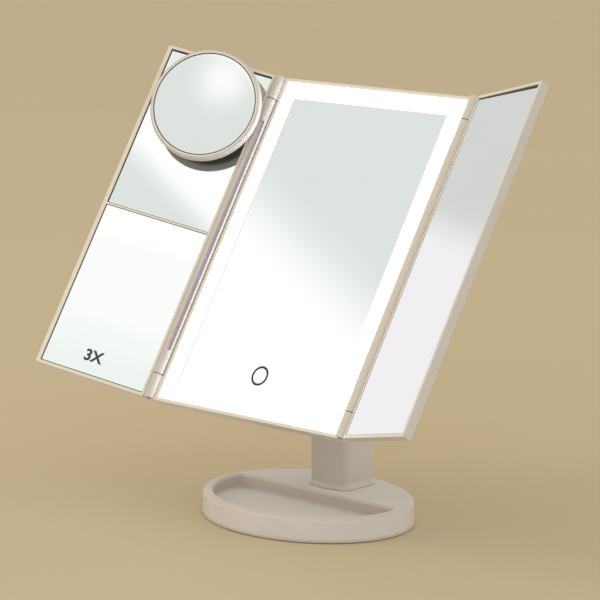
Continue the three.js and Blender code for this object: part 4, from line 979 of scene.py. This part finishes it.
def magnifier_rim():
    outer = MAGNIFIER_RADIUS
    edge = MAGNIFIER_EDGE
    wide, deep = MAGNIFIER_ROUND
    back = -MAGNIFIER_DEPTH
    inner = outer - MAGNIFIER_LIP
    skin = outer - MAGNIFIER_WALL
    floor = back + MAGNIFIER_WALL
    seat = -MAGNIFIER_SET_BACK - MAGNIFIER_GLASS - GLASS_GAP
    profile = [(TIP, back)]
    profile += [(outer - edge * i, back + edge * h) for i, h in round_over(8)]
    profile += [(outer - wide * h, -deep * i) for i, h in round_over(10)]
    profile += [(inner + 0.3, 0), (inner, -0.3), (inner, seat), (inner - 2, seat), (inner - 2, seat - 1),
                (skin, seat - 1), (skin, floor), (BALL_BOSS[0], floor), (BALL_BOSS[1], seat - 1),
                (TIP, seat - 1)]
    body = lathe(profile, "z", 144)
    socket = [(TIP, -BALL_SOCKET)] + ball_profile(BALL_SOCKET, 15, 15) + [(TIP, BALL_SOCKET)]
    cut(body, lathe([(r, -MAGNIFIER_FROM_BALL + h) for r, h in socket], "z", 48))
    settle(body, "magnifier_rim", MAGNIFIER, WARM, "magnifier", ["magnifier_housing"])
    # Painted highlight: paler front faces on the magnifier's lip.
    lighten(body, MAGNIFIER, LIP, -0.08, -MAGNIFIER_RADIUS, MAGNIFIER_RADIUS)


def magnifier_pane():
    radius = MAGNIFIER_RADIUS - MAGNIFIER_LIP - 0.06
    front = -MAGNIFIER_SET_BACK
    back = front - MAGNIFIER_GLASS
    rim = radius - 0.5
    profile = [(TIP, back), (radius, back), (radius, front)]
    steps = 24
    for k in range(1, steps + 1):
        share = 1 - k / steps
        profile.append((max(rim * share, TIP), front - MAGNIFIER_SAG * (1 - share * share)))
    settle(lathe(profile, "z", 144), "magnifier_pane", MAGNIFIER, MAGNIFYING_SILVER, "magnifier",
           ["magnifier_mirror"])
    # The dark ring at the glass's edge: painted shade of the gap under the lip.
    ring = flat_ring(radius + TIP, radius - MAGNIFIER_GAP_SHADE, front - 0.4, front + 0.1, 144)
    settle(ring, "magnifier_gap_shade", MAGNIFIER, GAP_SHADE, "magnifier")


def suction_mount():
    low, high = local_box("suction_cup", CUP)
    under = ((TIP, 0), (16.4, 0), (17.0, 0.25), (16.9, 0.6), (14.5, 1.35))
    over = ((12, 1.3), (9, 0.75), (6.6, 0.35), (5.4, 0), (TIP, 0))
    cup = lathe([(r, low.z + h) for r, h in under] + [(r, high.z - h) for r, h in over], "z", 96)
    settle(cup, "suction_cup_moulding", CUP, RUBBER, "magnifier_mount", ["suction_cup"])
    foot = local_box("ball_stud", CUP)[0].z
    stem = ((4.7, 0), (5, 0.3), (5, 0.8), (4.6, 1), (1.9, 1.2))
    stud = lathe([(r, foot + h) for r, h in stem] + ball_profile(BALL_RADIUS, 36, 12) + [(TIP, BALL_RADIUS)],
                 "z", 48)
    settle(stud, "ball_stud_turned", CUP, STEEL, "magnifier_mount", ["ball_stud"])


# Back of the head
def tilt_ear(name, side):
    low, high = local_box("tilt_ear_" + name, HEAD)
    flange_back = -HOUSING_DEPTH - SEAM
    edge = 0.7
    near = low.x if side > 0 else high.x
    far = near + side * EAR_WIDTH
    drop = flange_back - PIVOT_W
    half = (high.y - low.y) / 2
    tangent = 180 - knuckle_tangent(drop, half)
    # In (v, w): the round end is centred on the pivot and opens towards the flange
    end = [(PIVOT_V + KNUCKLE_RADIUS * sin(t), PIVOT_W - KNUCKLE_RADIUS * cos(t))
           for t in (radians(-tangent + 2 * tangent * k / 32) for k in range(33))]
    outline = [(low.y, flange_back)] + end + [(high.y, flange_back)]
    x0, x1 = sorted((near, far))
    ear = soften(prism(outline, "x", x0, x1), edge, 40)
    flange = block(*sorted((near, far + side * FLANGE_WIDTH)), low.y, high.y, flange_back - FLANGE_THICKNESS,
                   flange_back)
    join(ear, soften(flange, edge, 40))
    pivot = (0, PIVOT_V, PIVOT_W)
    cut(ear, rod(AXLE_BORE, x0 - CLEAR, x1 + CLEAR, "x", 32, pivot))
    radius, depth = EAR_RECESS
    cut(ear, rod(radius, *sorted((far - side * depth, far + side)), "x", 48, pivot))
    settle(ear, "tilt_arm_" + name, HEAD, WARM, "head", ["tilt_ear_" + name])
    out, inset = FLANGE_SCREW
    for row, level in ((-1, "bottom"), (1, "top")):
        cross_screw(f"tilt_arm_screw_{name}_{level}", far + side * out, PIVOT_V + row * (half - inset),
                    flange_back - FLANGE_THICKNESS)


def battery_hatch():
    top = BAY_TOP + BAY_WALL
    tongue = BAY_HALF_WIDTH + DOOR_TONGUE
    tongue_back = DOOR_FRONT - DOOR_TONGUE_THICKNESS
    door = slab(-BAY_HALF_WIDTH, BAY_HALF_WIDTH, BAY_LOW, top, DOOR_BACK, DOOR_FRONT, 0.5, 0.3)
    join(door, block(-tongue, tongue, BAY_LOW + 0.5, BAY_TOP, tongue_back, DOOR_FRONT))
    for i in range(DOOR_GRIP_RIBS):
        v = top - DOOR_GRIP_DROP - i * DOOR_GRIP_PITCH
        join(door, slab(-DOOR_GRIP_LENGTH / 2, DOOR_GRIP_LENGTH / 2, v - DOOR_RIB / 2, v + DOOR_RIB / 2,
                        DOOR_BACK - DOOR_RIB_PROUD, DOOR_BACK + 0.5, 0.45, 0.3))
    settle(door, "battery_hatch", HEAD, WARM, "battery_lid", ["battery_door"])


base_moulding()
base_pad()
post_column()
centre_bezel()
rear_housing()
centre_glass()
touch_ring()
for index, (u, v) in enumerate(cover_screws()):
    cross_screw(f"cover_screw_{index + 1}", u, v, -HOUSING_DEPTH + COVER_SCREW_SINK)
for wing in WINGS:
    wing_moulding(*wing)
for wing in WINGS:
    wing_back(*wing)
for name, side, place in WINGS:
    groove_strip(name, side, place)
    pin_bore_shade(name, side)
    knuckle_washer(name, side, "bottom", SEAM_LOW)
    knuckle_washer(name, side, "top", SEAM_HIGH - KNUCKLE_SEAM / 2)
under_divider, over_divider = DIVIDER_V - DIVIDER_WIDTH / 2, DIVIDER_V + DIVIDER_WIDTH / 2
pane("left_lower", WINGS[0], 0, under_divider)
pane("left_upper", WINGS[0], over_divider, GLASS_HEIGHT)
pane("right", WINGS[1], 0, GLASS_HEIGHT)
gap_shade_line("left_lower", WINGS[0], 0, under_divider, (0.3, 0.9, 0.7, 0.5))
gap_shade_line("left_upper", WINGS[0], over_divider, GLASS_HEIGHT, (0.3, 1.1, 0.4, 1.6))
gap_shade_line("right", WINGS[1], 0, GLASS_HEIGHT, (0.03, 0.2, 0.4, 1.3), (0, 1.4))
magnification_mark()
magnifier_rim()
magnifier_pane()
suction_mount()
tilt_ear("left", -1)
tilt_ear("right", 1)
battery_hatch()

# Materials of the CAD nodes that stay
SLOT_MATERIALS = {"warm_plastic": WARM, "white_plastic": WHITE, "opal": OPAL, "mirror_glass": SILVER,
                  "steel": STEEL, "dark_rubber": RUBBER, "circuit_board": BOARD, "cell_can": CELL}
for part in frame["record"]["subparts"]:
    dress(frame["nodes"][part["node"]].data, SLOT_MATERIALS[part["material_slot"]])

# The mirrors show the studio, and of the head only its light
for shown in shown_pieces():
    shown.visible_glossy = shown.name == "lit_border"


# Camera
def make_camera():
    azimuth, elevation, roll = (radians(a) for a in (CAMERA_AZIMUTH, CAMERA_ELEVATION, CAMERA_ROLL))
    back = Vector((sin(azimuth) * cos(elevation), -cos(azimuth) * cos(elevation),
                   sin(elevation)))
    right = Vector((cos(azimuth), sin(azimuth), 0))
    up = back.cross(right)
    lens = bpy.data.cameras.new("photo_camera")
    lens.lens = FOCAL_LENGTH
    lens.sensor_width = SENSOR_WIDTH
    camera = linked("photo_camera", lens)
    camera.matrix_world = axes(cos(roll) * right + sin(roll) * up,
                               -sin(roll) * right + cos(roll) * up, back, CAMERA_PLACE)
    scene.camera = camera


make_camera()


# Studio: what the mirrors see is painted on the world by direction
def flat_mirror_view(place):
    """Directions that a flat mirror sends the camera's sight to, at its x, y in mm: x * a + y * b + c."""
    turned = place.to_3x3()
    normal = turned @ Vector((0, 0, 1))
    behind = CAMERA_PLACE - 2 * (CAMERA_PLACE - place.translation).dot(normal) * normal
    return turned @ Vector((MM, 0, 0)), turned @ Vector((0, MM, 0)), place.translation - behind


def hollow_mirror_view(place, radius):
    """The same for a hollow mirror of that radius of curvature in mm, close to its middle."""
    def sent(x, y):
        point = place @ Vector((x * MM, y * MM, 0))
        normal = (place.to_3x3() @ Vector((-x / radius, -y / radius, 1))).normalized()
        sight = (point - CAMERA_PLACE).normalized()
        return sight - 2 * sight.dot(normal) * normal

    step = 20
    across, up = ((sent(x, y) - sent(-x, -y)) / (2 * step) for x, y in ((step, 0), (0, step)))
    return across, up, sent(0, 0)


# Sockets of a colour mix node: its inputs by number, and its output
MIX_FACTOR, MIX_FIRST, MIX_SECOND, MIX_RESULT = 0, 6, 7, 2


class Sky:
    """Small helpers for the world's node tree."""

    def __init__(self, tree):
        self.tree = tree
        self.direction = node(tree, "ShaderNodeTexCoord").outputs["Generated"]

    def value(self, operation, *inputs):
        return node(self.tree, "ShaderNodeMath", enumerate(inputs), operation=operation).outputs[0]

    def towards(self, direction):
        return node(self.tree, "ShaderNodeVectorMath", [(0, self.direction), (1, direction)],
                    operation="DOT_PRODUCT").outputs["Value"]

    def step(self, source, start, end):
        """Runs smoothly from 0 at start to 1 at end."""
        ends = (start, end, 0, 1) if start < end else (end, start, 1, 0)
        return map_range(self.tree, source, *ends, interpolation_type="SMOOTHSTEP")

    def mix(self, factor, first, second, **settings):
        first, second = ((*c, 1) if isinstance(c, tuple) else c for c in (first, second))
        inputs = [(MIX_FACTOR, factor), (MIX_FIRST, first), (MIX_SECOND, second)]
        return node(self.tree, "ShaderNodeMix", inputs, data_type="RGBA", **settings).outputs[MIX_RESULT]

    def spot(self, view):
        """The x and y in mm at which the camera sees a direction in a mirror, and 1 if it can."""
        inverse = Matrix(view).transposed().inverted()
        x, y, depth = (self.towards(inverse.row[i]) for i in range(3))
        return (self.value("DIVIDE", x, depth), self.value("DIVIDE", y, depth),
                self.value("GREATER_THAN", depth, 0))

    def slope(self, spot, start, end):
        """Runs smoothly from 0 at the point start of a mirror to 1 at the point end, square to that way."""
        way = Vector(end) - Vector(start)
        shares = (self.value("MULTIPLY", value, share) for value, share in zip(spot, way))
        return self.step(self.value("ADD", *shares), way.dot(Vector(start)), way.dot(Vector(end)))

    def line(self, spot, near, far):
        """How far above the line through two points of a mirror its points are, in mm."""
        climb = (far[1] - near[1]) / (far[0] - near[0])
        height = self.value("ADD", self.value("MULTIPLY", spot[0], climb), near[1] - climb * near[0])
        return self.value("SUBTRACT", spot[1], height)

    def wedge(self, spot, low_line, high_line):
        """Runs smoothly from 0 at one line of a mirror to 1 at another."""
        above = self.line(spot, *low_line)
        below = self.line(spot, *high_line)
        return self.step(self.value("DIVIDE", above, self.value("SUBTRACT", above, below)), 0, 1)

    def round(self, spot, centre, outer, inner):
        """Runs smoothly from 0 at the outer radius to 1 at the inner one, round a point of a mirror."""
        away = [self.value("SUBTRACT", value, middle) for value, middle in zip(spot, centre)]
        square = self.value("ADD", *(self.value("MULTIPLY", v, v) for v in away))
        return self.step(self.value("SQRT", square), outer, inner)

    def window(self, spot, low, high, margin):
        """1 inside the box of a mirror from low to high, fading over a margin."""
        mask = spot[2]
        for value, start, end in zip(spot, low, high):
            mask = self.value("MULTIPLY", mask, self.step(value, start - margin, start))
            mask = self.value("MULTIPLY", mask, self.step(value, end + margin, end))
        return mask


GREY_GREEN = (0.803, 0.839, 0.811)
BRIGHT = (1.13, 1.13, 1.13)
COOL_GREY = (0.709, 0.719, 0.701)
ROSE_WHITE = (0.968, 0.934, 0.968)
PALE_GREEN = (0.945, 0.995, 0.965)
SOFT_WHITE = (1.065, 1.07, 1.065)
TOP_GREEN = (0.90, 0.945, 0.92)
# Colours of the magnifier housing's shaded back and side as seen in the left mirror: a painted reflection.
HOUSING_SHADE = (0.035, 0.034, 0.027)
HOUSING_BACK_REFLECTION = (0.165, 0.155, 0.135)
HOUSING_SIDE_REFLECTION = (0.34, 0.31, 0.255)
HOUSING_IMAGE = (-38.8, 229.0)
ROOM_LIGHT = {
    (1, 0, 0): (0.65, 0.76, 0.86),
    (-1, 0, 0): (0.22, 0.22, 0.22),
    (0, -1, 0): (0.53, 0.59, 0.69),
    (0, 1, 0): (0.40, 0.36, 0.35),
    (0, 0, 1): (0.62, 0.47, 0.30),
}
# Soft panels: the direction to the middle, and its inner and outer angle
PANELS = (((-0.45, -0.35, 0.82), 12, 38), ((0.75, -0.5, 0.45), 10, 34))
BACKDROP = (0.50, 0.42, 0.26)
RING_LIGHT = (1.8, 2.05, 2.8)
RING_LIGHT_PROUD = 0.4


def room_light(sky):
    """The soft light of the room, of another strength from each side."""
    colour = (0.0, 0.0, 0.0)
    for side, light in ROOM_LIGHT.items():
        amount = sky.value("MAXIMUM", sky.towards(side), 0.0)
        colour = sky.mix(amount, colour, light, blend_type="ADD")
    return colour


def studio_sky(sky):
    """A grey-green room with two large soft panels."""
    colour = GREY_GREEN
    for centre, inner, outer in PANELS:
        facing = sky.towards(Vector(centre).normalized())
        share = sky.step(facing, cos(radians(outer)), cos(radians(inner)))
        colour = sky.mix(share, colour, BRIGHT)
    return colour


# Each reflection is drawn at points (x, y) of its mirror in mm, as the photograph shows them
def plain_reflection(sky, under, place, way, near, far, low, high):
    """In a flat mirror, one shade that runs into another."""
    spot = sky.spot(flat_mirror_view(place))
    shade = sky.mix(sky.slope(spot, *way), near, far)
    return sky.mix(sky.window(spot, low, high, 60), under, shade)


def left_reflection(sky, under):
    spot = sky.spot(flat_mirror_view(LEFT_WING))
    low_line = ((-94, 168.5), (-30, 138.5))
    high_line = ((-60, 185.5), (-15, 161))
    upper = sky.mix(sky.wedge(spot, low_line, high_line), GREY_GREEN, BRIGHT)
    upper = sky.mix(sky.step(spot[1], 225, 262), upper, TOP_GREEN)
    # The magnifier housing's back, as a dark crescent round it: a painted reflection.
    back = sky.mix(sky.round(spot, HOUSING_IMAGE, 42.5, 38), HOUSING_BACK_REFLECTION, HOUSING_SHADE)
    back = sky.mix(sky.step(spot[1], 215, 250), back, HOUSING_SIDE_REFLECTION)
    upper = sky.mix(sky.round(spot, HOUSING_IMAGE, 45.7, 45.2), upper, back)
    lower = sky.mix(sky.slope(spot, (-50, 0), (-50, 60)), PALE_GREEN, SOFT_WHITE)
    lower = sky.mix(sky.slope(spot, (-50, 105), (-50, 125)), lower, BRIGHT)
    shade = sky.mix(sky.step(spot[1], DIVIDER_V - 0.3, DIVIDER_V + 0.3), lower, upper)
    return sky.mix(sky.window(spot, (-100, 0), (0, 275), 30), under, shade)


def magnifier_reflection(sky, under):
    radius = ((MAGNIFIER_RADIUS - MAGNIFIER_LIP) ** 2 + MAGNIFIER_SAG ** 2) / (2 * MAGNIFIER_SAG)
    spot = sky.spot(hollow_mirror_view(MAGNIFIER, radius))
    shade = sky.mix(sky.round(spot, (8, 24), 36, 2), GREY_GREEN, SOFT_WHITE)
    return sky.mix(sky.window(spot, (-43, -43), (43, 43), 4), under, shade)


def make_world():
    """What mirrors see, what lights the room and what stands behind, told apart by the kind of ray."""
    world = bpy.data.worlds.new("studio")
    scene.world = world
    world.use_nodes = True
    tree = world.node_tree
    tree.nodes.clear()
    sky = Sky(tree)
    room = studio_sky(sky)
    colour = plain_reflection(sky, room, HEAD, ((-4.7, 176.4), (-37, 110)), GREY_GREEN, BRIGHT,
                              (-80, 0), (80, 275))
    colour = plain_reflection(sky, colour, RIGHT_WING, ((55.5, 181.9), (46, 144)), COOL_GREY, ROSE_WHITE,
                              (0, 0), (100, 275))
    colour = left_reflection(sky, colour)
    rays = node(tree, "ShaderNodeLightPath").outputs
    colour = sky.mix(rays["Is Singular Ray"], colour, magnifier_reflection(sky, room))
    mirrored = sky.value("MAXIMUM", rays["Is Glossy Ray"], rays["Is Transmission Ray"])
    colour = sky.mix(mirrored, room_light(sky), colour)
    colour = sky.mix(rays["Is Camera Ray"], colour, BACKDROP)
    background = node(tree, "ShaderNodeBackground", [("Color", colour)])
    node(tree, "ShaderNodeOutputWorld", [("Surface", background.outputs["Background"])])


make_world()


def area_lamp(name, shape, width, height, power, colour):
    """A lamp that the camera doesn't see."""
    lamp = bpy.data.lights.new(name, "AREA")
    lamp.shape = shape
    lamp.size = width
    lamp.size_y = height
    lamp.energy = power
    lamp.color = colour
    made = linked(name, lamp)
    made.visible_camera = False
    return made


def room_lamp(name, place, target, size, power, colour):
    made = area_lamp(name, "DISK", size, size, power, colour)
    made.location = place
    made.rotation_mode = "QUATERNION"
    made.rotation_quaternion = (Vector(target) - Vector(place)).to_track_quat("-Z", "Y")
    made.visible_glossy = False


def ring_lights():
    """The light that the lit border throws, from four strips just in front of it."""
    half = GLASS_HALF - LIT_BORDER / 2
    middle = GLASS_HEIGHT / 2
    across = 2 * (GLASS_HALF - LIT_BORDER)
    strips = (("left", -half, middle, LIT_BORDER, GLASS_HEIGHT),
              ("right", half, middle, LIT_BORDER, GLASS_HEIGHT),
              ("bottom", 0, LIT_BORDER / 2, across, LIT_BORDER),
              ("top", 0, GLASS_HEIGHT - LIT_BORDER / 2, across, LIT_BORDER))
    for side, u, v, width, height in strips:
        width, height = width * MM, height * MM
        made = area_lamp("ring_light_" + side, "RECTANGLE", width, height, 4 * width * height, RING_LIGHT)
        made.matrix_world = (HEAD @ Matrix.Translation(Vector((u, v, RING_LIGHT_PROUD)) * MM)
                             @ Matrix.Rotation(pi, 4, "X"))
        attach(made, "head")


room_lamp("key_light", (-1.6, -1.5, 1.4), (0, 0, 0.2), 1.4, 9.5, (1.0, 0.882, 0.754))
room_lamp("floor_light", (0, 0, 0.003), (0, 0, 1), 2.4, 6.0, (0.73, 0.82, 1.0))
ring_lights()


def make_floor():
    reach = 6000
    thickness = 20
    floor = rod(reach, -thickness, 0, "z", 96)
    floor.name = "studio_floor"
    floor.data.transform(Matrix.Scale(MM, 4))
    outwards(floor)
    paper = surface("studio_paper", (0.61, 0.52, 0.335), (0.625, 0.535, 0.345), (0.8, 0.9), colour_scale=3,
                    grain_scale=600, grain=0.02)
    floor.data.materials.append(paper)


make_floor()
